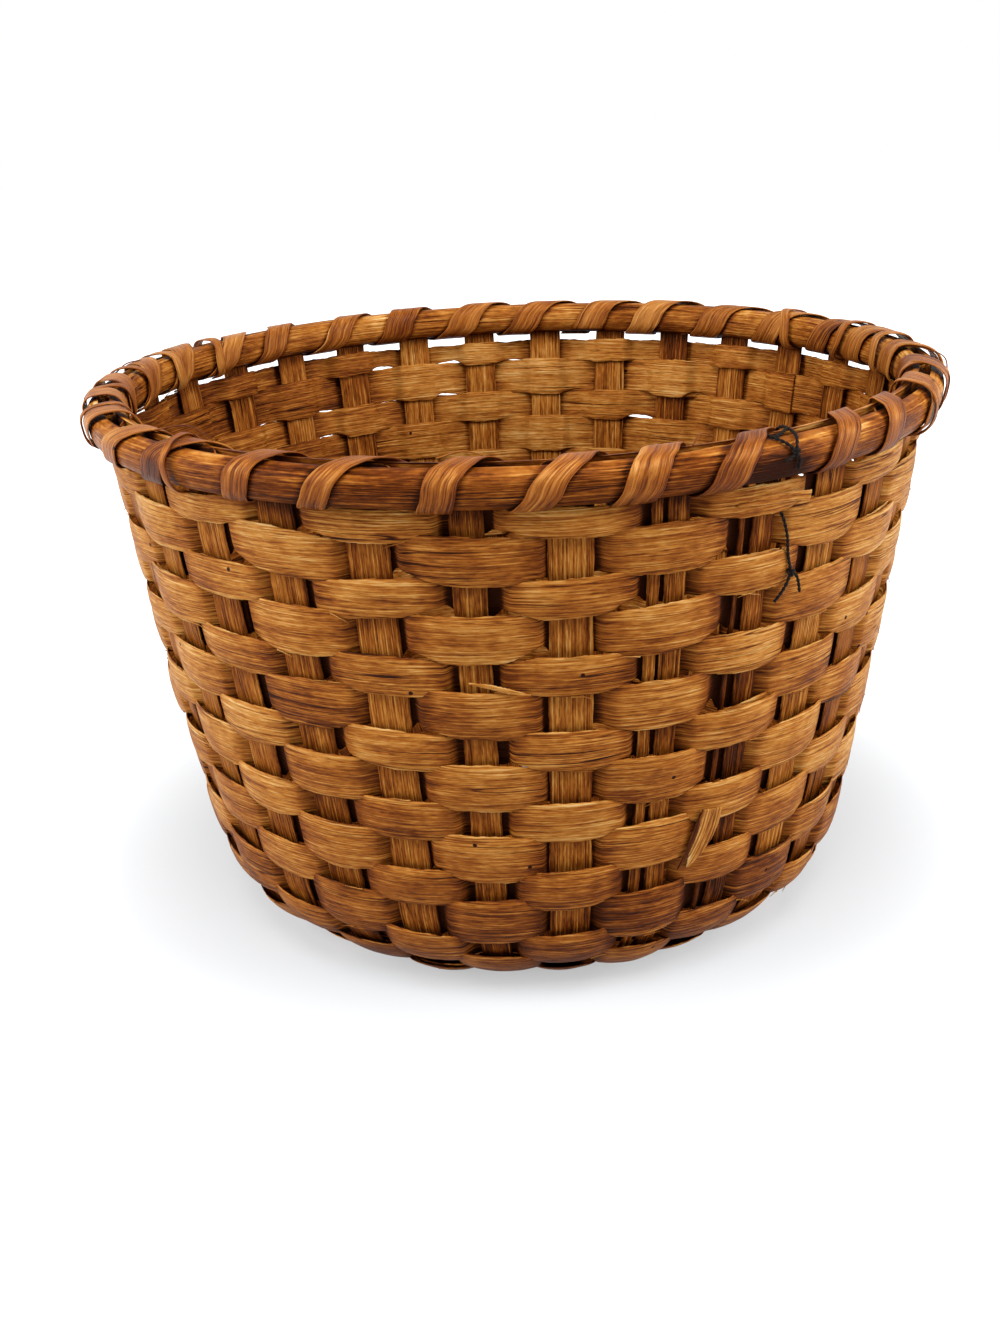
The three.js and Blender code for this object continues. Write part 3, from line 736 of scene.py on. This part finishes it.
def rim_hoop(name, seat, thickness, direction, scarf_at, material):
    """Half-round bent hoop whose ends taper past each other, with direction 1 outside and -1 inside."""
    skin = Skin(name)
    chance = skin.chance
    angle = np.linspace(0, math.tau + SCARF_ANGLE, HOOP_STATIONS)
    along = angle * RIM_RADIUS

    def parting(start):
        """How far from the seat the two ends meet within a scarf."""
        share = np.clip((angle - start) / SCARF_ANGLE, 0, 1)
        return thickness - SCARF_TIP + (2 * SCARF_TIP + FIT - thickness) * share

    low = np.where(angle < SCARF_ANGLE, parting(0), 0)
    high = np.where(angle > math.tau, parting(math.tau) - FIT, thickness)
    near = (seat - direction * RIM_MIDDLE + low)[:, None]
    far = near + (high - low)[:, None]
    start = np.arccos(np.clip(near / RIM_HALF, 0, 0.999) ** (RIM_ROUND / 2))
    swing = HOOP_TILTS * start
    shaved = waves(along, ((0.22, 160), (0.12, 37)), chance)[:, None] * np.cos(swing) ** 2 - 0.12
    depth = np.minimum(RIM_HALF * rounded(np.cos(swing)), far) + shaved
    rise = HOOP_HEIGHT / 2 * rounded(np.sin(swing)) * (1 + 0.012 * wander(along, 210, chance)[:, None])
    around = scarf_at + angle
    outer = on_wall(RIM_LEVEL + rise, RIM_MIDDLE + direction * depth, around[:, None])
    seated = RIM_MIDDLE + direction * np.minimum(near, depth - 0.1)
    inner = on_wall(RIM_LEVEL + rise, seated, around[:, None])

    tone = 0.38 + waves(along, ((0.04, 300), (0.03, 70)), chance)
    tone = tone + 1.8 * region_shade(around, RIM_TONE_HEIGHT)
    # Lighter to the top and darker to the foot: painted light from above
    tone = tone[:, None] + 0.08 * HOOP_TILTS
    # Darker at the foot and edges: painted shade
    grime_and_shade = 0.9 * eased(-HOOP_TILTS, 0.55, 1.0) + 0.2 * np.abs(HOOP_TILTS) ** 6
    # Painted contact shade on the hoop beside each wrap of the lashing
    shares = 0.5 - direction * (0.25 - WRAP_TILT * HOOP_TILTS)
    shade = np.stack([LASHING.shade(around, share) for share in shares], axis=-1)
    grime_and_shade = grime_and_shade + 0.8 * shade
    if direction > 0:
        stain = np.exp(-degrees_off(around, STAIN_AT) ** 2 / 14)[:, None]
        grime_and_shade = grime_and_shade + 2.4 * stain * np.exp(-(HOOP_TILTS + 0.3) ** 2 / 0.25)
    # Pale patches on the upper face: wear and painted highlights
    wear_and_sheen_patches = np.clip(wander(along, 60, chance), 0, 1)[:, None]
    wear_and_sheen = 0.9 * eased(HOOP_TILTS, -0.3, 0.6) * wear_and_sheen_patches
    faces = (outer, inner) if direction > 0 else (inner, outer)
    skin.add_strip(*faces, along, rise, tone, (grime_and_shade, grime_and_shade), wear_and_sheen)
    skin.finish(material, [name])


# Wraps of the lashing
WRAP_SEAT = 0.7  # of the clearance
SLACK_FROM = 0.2  # shares of a turn where the slack begins and over which it lasts
SLACK_SPAN = 0.6
# Loose strands that lie over the lashing: angle in degrees, width, and slant in stake steps
STRAY_WRAPS = [
    (-121, 7.0, 0.3), (-108, 9.0, -0.2), (-97, 6.0, 0.5), (-84, 8.0, -0.1), (-71, 5.0, 0.4),
    (-44, 4.0, -0.15), (63, 5.0, 0.4), (76, 8.0, -0.2), (88, 6.0, 0.5), (99, 8.0, -0.1),
    (110, 6.0, 0.4), (126, 7.0, -0.2),
]
STRAY_SHARES = np.linspace(0.04, 0.96, LASHING_STEPS)


def add_wrap(skin, angle, share, half_span, lift, along, tone):
    """A run of flat splint over the rim, at angles and shares of the way round it."""
    chance = skin.chance
    left = -half_span + 0.35 * wander(along, 31, chance)
    right = half_span + 0.35 * wander(along, 27, chance)
    across = spanned(left, right)
    curl = 0.4 * edge_mark(3) * (0.5 + 0.5 * wander(along, 110, chance)[:, None])
    middle = lift[:, None] + LASHING_THICKNESS / 2 + curl

    def face(side):
        standoff, height = rim_profile(share[:, None], middle + side * LASHING_THICKNESS / 2 * ROUNDED_EDGE)
        return on_wall(height, standoff, angle[:, None] + across / RIM_RADIUS)[:, ::-1]

    above = np.sin(math.pi * (share % 1))[:, None]
    # Darker underneath the rim and along the edges: painted shade
    grime_and_shade = 0.6 * (1 - above ** 0.5) + 0.35 * edge_mark(8)
    # Pale edges are wear and painted highlights, and the pale streak along each crest is a painted
    # highlight
    wear_and_sheen_patches = np.clip(wander(along, 47, chance), 0, 1)[:, None]
    crest_sheen = np.exp(-((share % 1 - 0.36) / 0.06) ** 2)[:, None]
    wear_and_sheen = edge_mark(6) * (0.3 + 0.7 * wear_and_sheen_patches) + 0.7 * crest_sheen * (1 - edge_mark(4))
    skin.add_strip(face(1), face(-1), along, across, tone[:, None], (grime_and_shade, grime_and_shade), wear_and_sheen)


def rim_lashing(name, material):
    skin = Skin(name)
    chance = skin.chance
    girth = 2 * (HOOP_HEIGHT + OUTER_FACE - INNER_FACE)
    slack = chance.uniform(0.1, 1, STAKE_COUNT)[LASHING.number]
    slack = slack * (0.8 + 1.5 * np.abs(np.sin(LASHING.angle)) ** 3)
    loose = np.sin(math.pi * np.clip((LASHING.share - SLACK_FROM) / SLACK_SPAN, 0, 1)) ** 2
    lift = LASHING_CLEARANCE * WRAP_SEAT + slack * loose
    tone = 0.37 + 0.05 * chance.normal(0, 1, STAKE_COUNT)[LASHING.number]
    # Lighter over the top of each turn: painted light from above
    tone = softened(tone + 0.05 * np.sin(math.pi * LASHING.share) ** 2, 3)
    tone = tone + 0.7 * region_shade(LASHING.angle, RIM_TONE_HEIGHT)
    add_wrap(skin, LASHING.angle, LASHING.share, LASHING.half_span, lift, LASHING.turns * girth, tone)
    for middle, width, slant in STRAY_WRAPS:
        angle = math.radians(middle) + slant * STAKE_STEP * (STRAY_SHARES - 0.5)
        angle = angle + 0.012 * wander(STRAY_SHARES, 0.7, chance)
        slack = chance.uniform(0.2, 0.9) * np.sin(math.pi * STRAY_SHARES) ** 2
        tone = np.full(LASHING_STEPS, 0.41 + chance.normal(scale=0.04))
        half_span = np.full(LASHING_STEPS, width / 2)
        lift = LASHING_CLEARANCE + 1.1 + slack
        add_wrap(skin, angle, STRAY_SHARES, half_span, lift, STRAY_SHARES * girth, tone)
    skin.finish(material, [name])


# Tubes
SPLINE_STEPS = 24
SPOKE_START = (0.31, 0.17, 0.93)


def spline(points, count):
    """A smooth curve through points, evenly spaced, and the distances along it."""
    points = np.asarray(points, dtype=float)
    padded = np.concatenate([[2 * points[0] - points[1]], points, [2 * points[-1] - points[-2]]])
    share = np.linspace(0, 1, SPLINE_STEPS, endpoint=False)[:, None]
    runs = []
    for index in range(len(points) - 1):
        a, b, c, d = padded[index:index + 4]
        runs.append(0.5 * (2 * b + (c - a) * share + (2 * a - 5 * b + 4 * c - d) * share ** 2
                           + (3 * b - a - 3 * c + d) * share ** 3))
    dense = np.concatenate(runs + [points[-1:]])
    length = distances(dense)
    spots = np.linspace(0, length[-1], count)
    return np.stack([np.interp(spots, length, dense[:, axis]) for axis in range(3)], axis=-1), spots


def add_tube(skin, points, radii, tone, sides):
    """A closed tube along a curve through points, with the radius of each station."""
    path, length = spline(points, len(radii))
    tangent = tangents(path)
    normal = np.cross(tangent[0], SPOKE_START)
    normals = []
    for direction in tangent:
        normal = unit(normal - direction * np.dot(normal, direction))
        normals.append(normal)
    first = np.array(normals)[:, None, :]
    second = np.cross(tangent, normals)[:, None, :]
    turn = np.linspace(0, math.tau, sides, endpoint=False)
    spokes = first * np.cos(turn)[:, None] - second * np.sin(turn)[:, None]
    rings = path[:, None, :] + radii[:, None, None] * spokes
    skin.add_rings(rings, length, radii.max() * turn, tone, 0.0, 0.0)


def on_rim(degrees, share, lift):
    """A point at an angle and a share of the way round the rim, lifted off it."""
    standoff, along = rim_profile(share, lift)
    return on_wall(along, standoff, math.radians(degrees))


# Repair twine: a V over the outer hoop, as angles in degrees and shares of the way round the rim, and
# ends that hang out from behind the top row, as angles, drops below the hoops and standoffs
TWINE_LOOP = [
    (28.4, 0.70), (28.8, 0.60), (29.2, 0.52), (29.9, 0.46), (30.5, 0.41), (31.2, 0.36), (31.8, 0.31),
    (32.2, 0.37), (32.8, 0.44), (33.3, 0.51), (33.6, 0.62), (33.5, 0.75), (33.3, 0.88), (33.2, 0.98),
]
TWINE_HANG = [
    (33.2, 7, -1.5), (33.2, 14, -1.5), (33.4, 20, 3.0), (33.9, 28, 5.0), (34.5, 37, 4.8), (35.3, 46, 5.2),
]
TWINE_ENDS = [
    [(35.3, 46, 5.2), (34.7, 51, 5.6), (34.0, 55, 5.4), (33.3, 59, 4.6)],
    [(35.3, 46, 5.2), (36.1, 48, 6.0), (36.6, 52, 6.4), (36.8, 56, 7.0)],
]
TWINE_STUBS = [
    [(31.8, 0.31), (31.1, 0.28), (30.3, 0.27)],
    [(31.8, 0.31), (32.3, 0.27), (32.4, 0.22)],
    [(33.3, 0.51), (32.3, 0.50), (31.2, 0.48), (29.9, 0.46)],
]
TWINE_LIFT = LASHING_CLEARANCE + TWINE_DIAMETER / 2
TWINE_SIDES = 7
TWINE_TONE = 0.5
TWIST_START = (0.3, 0.2, 0.9)
TWIST_LENGTH = 4.6
TWIST_STEPS = 12  # stations for each point of a route, and then of each strand or sliver
ROUTE_STEPS = 14
STRAND_OFFSET = TWINE_DIAMETER * 0.22
STRAND_RADIUS = TWINE_DIAMETER * 0.27
KNOT_SIZE = 1.7 / 2.6
KNOT_LOBE = 1.6
KNOT_RADII = np.full(120, TWINE_DIAMETER * 0.36)


def over_rim(route):
    return [on_rim(degrees, share, TWINE_LIFT) for degrees, share in route]


def down_wall(route):
    return [on_wall(HOOP_FOOT - drop, standoff, math.radians(degrees)) for degrees, drop, standoff in route]


def add_twine(skin, points):
    """Two strands twisted round each other."""
    path, length = spline(points, TWIST_STEPS * len(points))
    tangent = tangents(path)
    side = unit(np.cross(tangent, TWIST_START))
    other = np.cross(tangent, side)
    radii = np.full(ROUTE_STEPS * len(points), STRAND_RADIUS)
    for strand in (0, 1):
        phase = (math.tau * length / TWIST_LENGTH + math.pi * strand)[:, None]
        strand_path = path + (side * np.cos(phase) + other * np.sin(phase)) * STRAND_OFFSET
        add_tube(skin, strand_path, radii, TWINE_TONE, TWINE_SIDES)


def add_knot(skin, centre):
    """A tight overhand knot, as a small trefoil."""
    turn = np.linspace(0, math.tau, 19)
    loop = np.stack([
        np.sin(turn) + KNOT_LOBE * np.sin(2 * turn),
        1.2 * np.sin(3 * turn),
        np.cos(turn) - KNOT_LOBE * np.cos(2 * turn),
    ], axis=-1)
    add_tube(skin, centre + loop * KNOT_SIZE, KNOT_RADII, TWINE_TONE, TWINE_SIDES)


def repair_twine(name, material):
    """The twine with its knots, its hanging ends and its short stubs."""
    skin = Skin(name)
    routes = [over_rim(TWINE_LOOP) + down_wall(TWINE_HANG)]
    routes += [down_wall(route) for route in TWINE_ENDS]
    routes += [over_rim(route) for route in TWINE_STUBS]
    for points in routes:
        add_twine(skin, points)
    for centre in (over_rim(TWINE_STUBS[0])[0], over_rim(TWINE_LOOP)[0], down_wall(TWINE_HANG)[-1]):
        add_knot(skin, centre)
    skin.finish(material, [name])


# Broken ends and lifted slivers, the last a dark strip beside the lifted flap that is a painted shadow: a
# route of angles in degrees, places along the wall and standoffs, then its widths, thickness and tone
SLIVERS = [
    ([(-6.8, 211, 4.2), (-4, 209.5, 5.0), (-1.5, 207, 5.0), (0.8, 205.5, 5.6)],
     [0.6, 2.2, 2.4, 0.5], 0.7, 0.44),
    ([(25.8, 283, 4.6), (29, 283.5, 5.4), (33, 283, 5.6), (36.6, 281.5, 6.0)],
     [1.0, 3.6, 4.4, 4.6], 0.9, 0.45),
    ([(24.2, 100, 3.4), (25.4, 110, 4.4), (26.4, 121, 5.0), (26.9, 132, 5.4)],
     [1.0, 7.0, 11.0, 12.0, 11.0], 0.9, 0.53),
    # A dark strip beside the lifted flap: a painted shadow
    ([(22.4, 101, 4.2), (23.6, 110, 4.9), (24.5, 120, 5.2), (25.3, 133, 5.8)],
     [0.6, 2.4, 3.2, 2.4, 0.8], 0.7, 0.04),
]
# Loose fibres, each through angles in degrees, shares of the way round the rim and heights off it
FIBRES = [
    [(-84, 0.40, 1.5), (-87, 0.46, 3.5), (-91, 0.5, 2)],
    [(-97, 0.42, 1.5), (-100, 0.48, 3.5), (-104, 0.53, 2)],
    [(-70, 0.52, 1.5), (-67, 0.58, 3.5), (-63, 0.62, 2)],
    [(-52, 0.52, 1), (-47, 0.62, 6), (-41, 0.62, 3)],
    [(84, 0.2, 1.5), (89, 0.3, 5), (96, 0.36, 3)],
    [(90, 0.15, 1.5), (95, 0.24, 6), (104, 0.3, 4)],
    [(78, 0.3, 1.5), (83, 0.38, 4), (90, 0.44, 2)],
    [(-9, 0.55, 1.5), (-6, 0.6, 4), (-3, 0.63, 2)],
    [(20, 0.5, 1.5), (22, 0.56, 4), (24, 0.6, 2)],
]
FIBRE_RADII = np.linspace(0.45, 0.2, 30)
FIBRE_TONE = 0.3


def add_sliver(skin, route, widths, thickness, tone):
    """A thin loose strip along a route, as wide as given."""
    radius = float(wall_point(np.mean([place for _, place, _ in route]))[0])
    points = [(math.radians(degrees) * radius, place, standoff) for degrees, place, standoff in route]
    path, length = spline(points, ROUTE_STEPS * len(route))
    half = np.interp(length / length[-1], np.linspace(0, 1, len(widths)), widths) / 2
    half = half + 0.12 * wander(length, 2.0, skin.chance)
    tangent = tangents(path[:, :2])
    across = half[:, None] * ACROSS
    angle = (path[:, 0:1] - tangent[:, 1:2] * across) / radius
    place = path[:, 1:2] + tangent[:, 0:1] * across
    thick = thickness / 2 * ROUNDED_EDGE
    front = on_wall(place, path[:, 2:3] + thick, angle)
    back = on_wall(place, path[:, 2:3] - thick, angle)
    skin.add_strip(front, back, length, across, tone, (0.0, 0.0), edge_mark(4))


def loose_splints(name, material):
    skin = Skin(name)
    for sliver in SLIVERS:
        add_sliver(skin, *sliver)
    skin.finish(material)


def rim_fibres(name, material):
    skin = Skin(name)
    for fibre in FIBRES:
        points = [on_rim(*spot) for spot in fibre]
        add_tube(skin, points, FIBRE_RADII, FIBRE_TONE, FIBRE_SIDES)
    skin.finish(material)


# Materials

class Graph:
    """The nodes of a material or of the world."""

    def __init__(self, owner, shader):
        owner.use_nodes = True
        self.tree = owner.node_tree
        self.inputs = self.tree.nodes[shader].inputs

    def put(self, socket, value):
        """Sets a socket to a number or colour, or links it to another socket."""
        if isinstance(value, bpy.types.NodeSocket):
            self.tree.links.new(value, socket)
        else:
            socket.default_value = value

    def feed(self, **values):
        """Fills the shader's inputs, with underscores for the spaces in their names."""
        for key, value in values.items():
            self.put(self.inputs[key.replace("_", " ")], value)

    def add(self, kind, inputs, **settings):
        """Adds a node with its settings and inputs, and gives its outputs."""
        node = self.tree.nodes.new(kind)
        for key, value in settings.items():
            setattr(node, key, value)
        for key, value in inputs.items():
            self.put(node.inputs[key], value)
        return node.outputs

    def mark(self, name, output="Fac"):
        return self.add("ShaderNodeAttribute", {}, attribute_name=name)[output]

    def math(self, operation, *values, clamp=False):
        inputs = dict(enumerate(values))
        return self.add("ShaderNodeMath", inputs, operation=operation, use_clamp=clamp)[0]

    def layered(self, base, *layers):
        """A value with others added to it, each with its weight."""
        for layer, weight in layers:
            base = self.math("MULTIPLY_ADD", layer, weight, base)
        return base

    def scaled(self, vector, scale):
        return self.add("ShaderNodeVectorMath", {0: vector, 1: (*scale, 1)[:3]}, operation="MULTIPLY")[0]

    def noise(self, vector, scale, detail=2.0, roughness=0.5):
        scaled = self.scaled(vector, scale)
        inputs = {"Vector": scaled, "Scale": 1.0, "Detail": detail, "Roughness": roughness}
        return self.add("ShaderNodeTexNoise", inputs)["Fac"]

    def off_middle(self, noise):
        return self.math("SUBTRACT", noise, 0.5)

    def between(self, value, low, high, first=0.0, last=1.0):
        """A smooth step from first to last while a value goes from low to high."""
        inputs = dict(enumerate((value, low, high, first, last)))
        return self.add("ShaderNodeMapRange", inputs, interpolation_type="SMOOTHSTEP")["Result"]

    def ramp(self, value, stops):
        node = self.tree.nodes.new("ShaderNodeValToRGB")
        self.put(node.inputs["Fac"], value)
        elements = node.color_ramp.elements
        while len(elements) < len(stops):
            elements.new(1.0)
        for element, (place, colour) in zip(elements, stops):
            element.position = place
            element.color = (*colour, 1.0)
        return node.outputs["Color"]

    def bump(self, height, distance):
        self.feed(Normal=self.add("ShaderNodeBump", {"Height": height, "Distance": distance})["Normal"])

    def seen(self):
        """1 for rays that the eye sees, also by reflection, and 0 for the rest."""
        rays = self.add("ShaderNodeLightPath", {})
        indirect = self.math("MAXIMUM", rays["Is Glossy Ray"], rays["Is Transmission Ray"])
        return self.math("MAXIMUM", rays["Is Camera Ray"], indirect)


HONEY = [
    (0.0, (0.020, 0.004, 0.0005)),
    (0.20, (0.100, 0.022, 0.0025)),
    (0.38, (0.235, 0.068, 0.008)),
    (0.55, (0.385, 0.154, 0.026)),
    (0.75, (0.520, 0.288, 0.092)),
    (1.0, (0.650, 0.460, 0.222)),
]
RUSSET = [
    (0.0, (0.020, 0.004, 0.0005)),
    (0.20, (0.098, 0.020, 0.0025)),
    (0.38, (0.228, 0.064, 0.008)),
    (0.55, (0.360, 0.134, 0.024)),
    (0.75, (0.495, 0.242, 0.070)),
    (1.0, (0.640, 0.410, 0.185)),
]
WAX = [(0.0, (0.003, 0.002, 0.0015)), (0.55, (0.007, 0.005, 0.004)), (1.0, (0.03, 0.022, 0.015))]


def crack_layer(graph, grain):
    """Fine cracks along the grain, in some places only."""
    line = graph.math("ABSOLUTE", graph.off_middle(graph.noise(grain, (6, 260), 1)))
    cracked = graph.between(graph.noise(grain, (11, 60, 2), 1), 0.54, 0.64)
    return graph.math("MULTIPLY", graph.between(line, 0.0, 0.016, 1.0, 0.0), cracked)


def hole_layer(graph, grain):
    """The rarest of many spots are small round holes."""
    inputs = {"Vector": graph.scaled(grain, (42, 42)), "Scale": 1.0}
    spots = graph.add("ShaderNodeTexVoronoi", inputs, voronoi_dimensions="2D")
    chosen = graph.add("ShaderNodeSeparateColor", {"Color": spots["Color"]})["Red"]
    hole = graph.between(spots["Distance"], 0.028, 0.045, 1.0, 0.0)
    return graph.math("MULTIPLY", hole, graph.math("GREATER_THAN", chosen, 0.93))


def splint_material(name, colours, ridges, gloss, roughness, run, lines, mottle):
    """Aged varnished splint: fibres, pores, cracks, dirt and painted shade by the crossings, and pale worn
    edges with painted highlights.
    """
    material = bpy.data.materials.new(name)
    graph = Graph(material, "Principled BSDF")
    grain = graph.mark("grain", "Vector")
    tone, grime_and_shade, wear_and_sheen = graph.mark("tone"), graph.mark("grime_and_shade"), graph.mark("wear_and_sheen")
    fibre = graph.noise(grain, (2 * run, 1450))
    streak = graph.noise(grain, (run, 640), detail=3, roughness=0.7)
    fleck = graph.noise(grain, (190, 1250))
    band = graph.noise(grain, (run / 4, 150))
    blotch = graph.noise(grain, (60, 95), detail=5, roughness=0.65)
    cloud = graph.noise(grain, (15, 26))
    pore = graph.between(graph.noise(grain, (110, 2100), detail=1), 0.62, 0.72)
    crack = crack_layer(graph, grain)
    hole = hole_layer(graph, grain)
    glint = graph.between(fibre, 0.56, 0.66)
    groove = graph.between(streak, 0.45, 0.36)
    # The grime mark darkens as dirt and painted shade, and the wear mark lightens as wear and painted
    # highlights
    dirt_and_shade = graph.math("MULTIPLY", grime_and_shade, graph.between(blotch, 0.25, 0.7, 0.6, 1.0))
    rubbed_and_sheen = graph.math("MULTIPLY", wear_and_sheen, graph.between(streak, 0.4, 0.62))

    noises = ((fibre, 1.6 * lines), (streak, lines), (band, 0.6 * lines), (fleck, 1.3 * lines),
              (blotch, mottle), (cloud, mottle))
    level = graph.layered(tone, *((graph.off_middle(noise), weight) for noise, weight in noises))
    level = graph.layered(level, (dirt_and_shade, -0.3), (pore, -0.1), (crack, -0.35), (hole, -0.6), (rubbed_and_sheen, 0.28),
                          (glint, 0.25 * lines), (groove, -0.25 * lines))
    rough = graph.layered(roughness, (graph.off_middle(streak), 0.4))
    rough = graph.math("MULTIPLY_ADD", grime_and_shade, 0.12, rough, clamp=True)
    graph.feed(Base_Color=graph.ramp(level, colours), Roughness=rough, Specular_IOR_Level=gloss)
    height = graph.math("MULTIPLY", streak, 0.9)
    height = graph.layered(height, (fibre, 0.35), (pore, -0.25), (crack, -0.8), (hole, -1.0))
    graph.bump(height, ridges * MM)
    return material


def twine_material():
    material = bpy.data.materials.new("dark_waxed_twine")
    graph = Graph(material, "Principled BSDF")
    fibre = graph.noise(graph.mark("grain", "Vector"), (900, 300), detail=3)
    rough = graph.between(fibre, 0.3, 0.7, 0.6, 0.9)
    graph.feed(Base_Color=graph.ramp(fibre, WAX), Roughness=rough, Specular_IOR_Level=0.1)
    graph.bump(fibre, 0.15 * MM)
    return material


STAKE_WOOD = splint_material(
    "stake_splint_wood", HONEY, ridges=1.1, gloss=0.03, roughness=0.5, run=12, lines=0.36, mottle=0.4)
WEAVER_WOOD = splint_material(
    "weaver_splint_wood", HONEY, ridges=1.0, gloss=0.04, roughness=0.45, run=17, lines=0.32, mottle=0.44)
HOOP_WOOD = splint_material(
    "rim_hoop_wood", HONEY, ridges=0.9, gloss=0.03, roughness=0.36, run=14, lines=0.32, mottle=0.4)
LASHING_WOOD = splint_material(
    "rim_lashing_wood", RUSSET, ridges=0.9, gloss=0.06, roughness=0.34, run=16, lines=0.26, mottle=0.52)
TWINE = twine_material()

# The basket
for splint in range(FRONT_SPLINTS):
    base_splint(f"front_splint_{splint + 1:02d}", splint, FRONT_SPLINTS, SIDE_SPLINTS, 0, False, STAKE_WOOD)
for splint in range(SIDE_SPLINTS):
    base_splint(f"side_splint_{splint + 1:02d}", splint, SIDE_SPLINTS, FRONT_SPLINTS, FRONT_SPLINTS, True,
                STAKE_WOOD)
for row_index in range(WEAVER_ROWS):
    weaver_row(f"weaver_row_{row_index + 1:02d}", ROW_EDGES[row_index], row_width(row_index),
               first_stake(row_index), LAP_STAKES, WEAVER_WOOD)
weaver_row("rim_row", HOOP_FOOT + RIM_ROW_LIFT, RIM_ROW_WIDTH, first_stake(WEAVER_ROWS), -1, WEAVER_WOOD)
rim_hoop("outer_rim_hoop", OUTER_SEAT, OUTER_HOOP_THICKNESS, 1, OUTER_SCARF_AT, HOOP_WOOD)
rim_hoop("inner_rim_hoop", INNER_SEAT, INNER_HOOP_THICKNESS, -1, INNER_SCARF_AT, HOOP_WOOD)
rim_lashing("rim_lashing", LASHING_WOOD)
repair_twine("repair_twine", TWINE)
loose_splints("loose_splints", WEAVER_WOOD)
rim_fibres("rim_fibres", LASHING_WOOD)


# Camera, floor and light, in metres. The camera's pixels are those of the photo
CAMERA_PLACE = Vector((0.0, -0.8094, 0.4227))
CAMERA_PITCH = math.radians(19.506)
CAMERA_ROLL = -0.0349
FOCAL_PIXELS = 1565.1
PHOTO_WIDTH = 1000
PHOTO_HEIGHT = 1333
AXIS_PIXEL = (521.6, 619.5)
SENSOR = 36.0
FLOOR_HALF = 6.0
FLOOR_COLOURS = [(0.0, (0.64, 0.66, 0.68)), (1.0, (0.285, 0.3, 0.315))]  # to other things, and to the eye
# Distances from the basket's axis between which the floor grows paler to the eye, and by how much
FLOOR_GLOW = [(0.11, 0.14, 0.48), (0.17, 0.36, 0.46), (0.4, 0.9, 0.4)]
WHITE = (1.0, 1.0, 1.0, 1.0)
# Place, target, size and watts of each lamp
LAMPS = {
    "left_softbox": ((-1.6, -0.45, 0.9), (0.0, 0.0, 0.15), 1.3, 34),
    "right_softbox": ((1.6, -0.45, 0.9), (0.0, 0.0, 0.15), 1.3, 35),
    "top_softbox": ((0.0, -0.8, 1.7), (0.0, 0.1, 0.2), 1.2, 32),
}


def add_camera():
    forward = Vector((0.0, math.cos(CAMERA_PITCH), -math.sin(CAMERA_PITCH)))
    level_right = Vector((1.0, 0.0, 0.0))
    level_up = level_right.cross(forward)
    right = math.cos(CAMERA_ROLL) * level_right + math.sin(CAMERA_ROLL) * level_up
    up = right.cross(forward)
    data = bpy.data.cameras.new("photo_camera")
    data.sensor_width = SENSOR
    data.lens = FOCAL_PIXELS / PHOTO_HEIGHT * SENSOR
    data.shift_x = (PHOTO_WIDTH / 2 - AXIS_PIXEL[0]) / PHOTO_HEIGHT
    data.shift_y = (AXIS_PIXEL[1] - PHOTO_HEIGHT / 2) / PHOTO_HEIGHT
    camera = add_object("photo_camera", data)
    turn = Matrix((right, up, -forward)).transposed().to_4x4()
    camera.matrix_world = Matrix.Translation(CAMERA_PLACE) @ turn
    bpy.context.scene.camera = camera


def floor_material():
    """Pale floor that keeps the basket's shadow and goes white to the eye further off."""
    material = bpy.data.materials.new("pale_floor")
    graph = Graph(material, "Principled BSDF")
    seen = graph.seen()
    place = graph.add("ShaderNodeNewGeometry", {})["Position"]
    away = graph.add("ShaderNodeVectorMath", {0: place}, operation="LENGTH")["Value"]
    glow = 0.0
    for start, end, strength in FLOOR_GLOW:
        glow = graph.math("ADD", graph.between(away, start, end, 0.0, strength), glow)
    graph.feed(Base_Color=graph.ramp(seen, FLOOR_COLOURS), Roughness=0.9, Specular_IOR_Level=0.1)
    graph.feed(Emission_Color=WHITE, Emission_Strength=graph.math("MULTIPLY", seen, glow))
    return material


def add_floor():
    mesh = bpy.data.meshes.new("floor")
    corners = [(x * FLOOR_HALF, y * FLOOR_HALF, 0) for x, y in ((-1, -1), (1, -1), (1, 1), (-1, 1))]
    mesh.from_pydata(corners, [], [(0, 1, 2, 3)])
    mesh.materials.append(floor_material())
    floor = add_object("floor", mesh)


def add_lamp(name, place, target, size, power):
    data = bpy.data.lights.new(name, "AREA")
    data.shape = "DISK"
    data.size = size
    data.energy = power
    turn = (Vector(target) - Vector(place)).to_track_quat("-Z", "Y").to_matrix().to_4x4()
    add_object(name, data).matrix_world = Matrix.Translation(Vector(place)) @ turn


def add_world():
    world = bpy.data.worlds.new("studio")
    bpy.context.scene.world = world
    graph = Graph(world, "Background")
    strength = graph.between(graph.seen(), 0.0, 1.0, first=0.28, last=1.0)
    graph.feed(Color=WHITE, Strength=strength)


add_camera()
add_floor()
add_world()
for lamp_name, lamp in LAMPS.items():
    add_lamp(lamp_name, *lamp)
bpy.context.scene.view_settings.view_transform = "Standard"
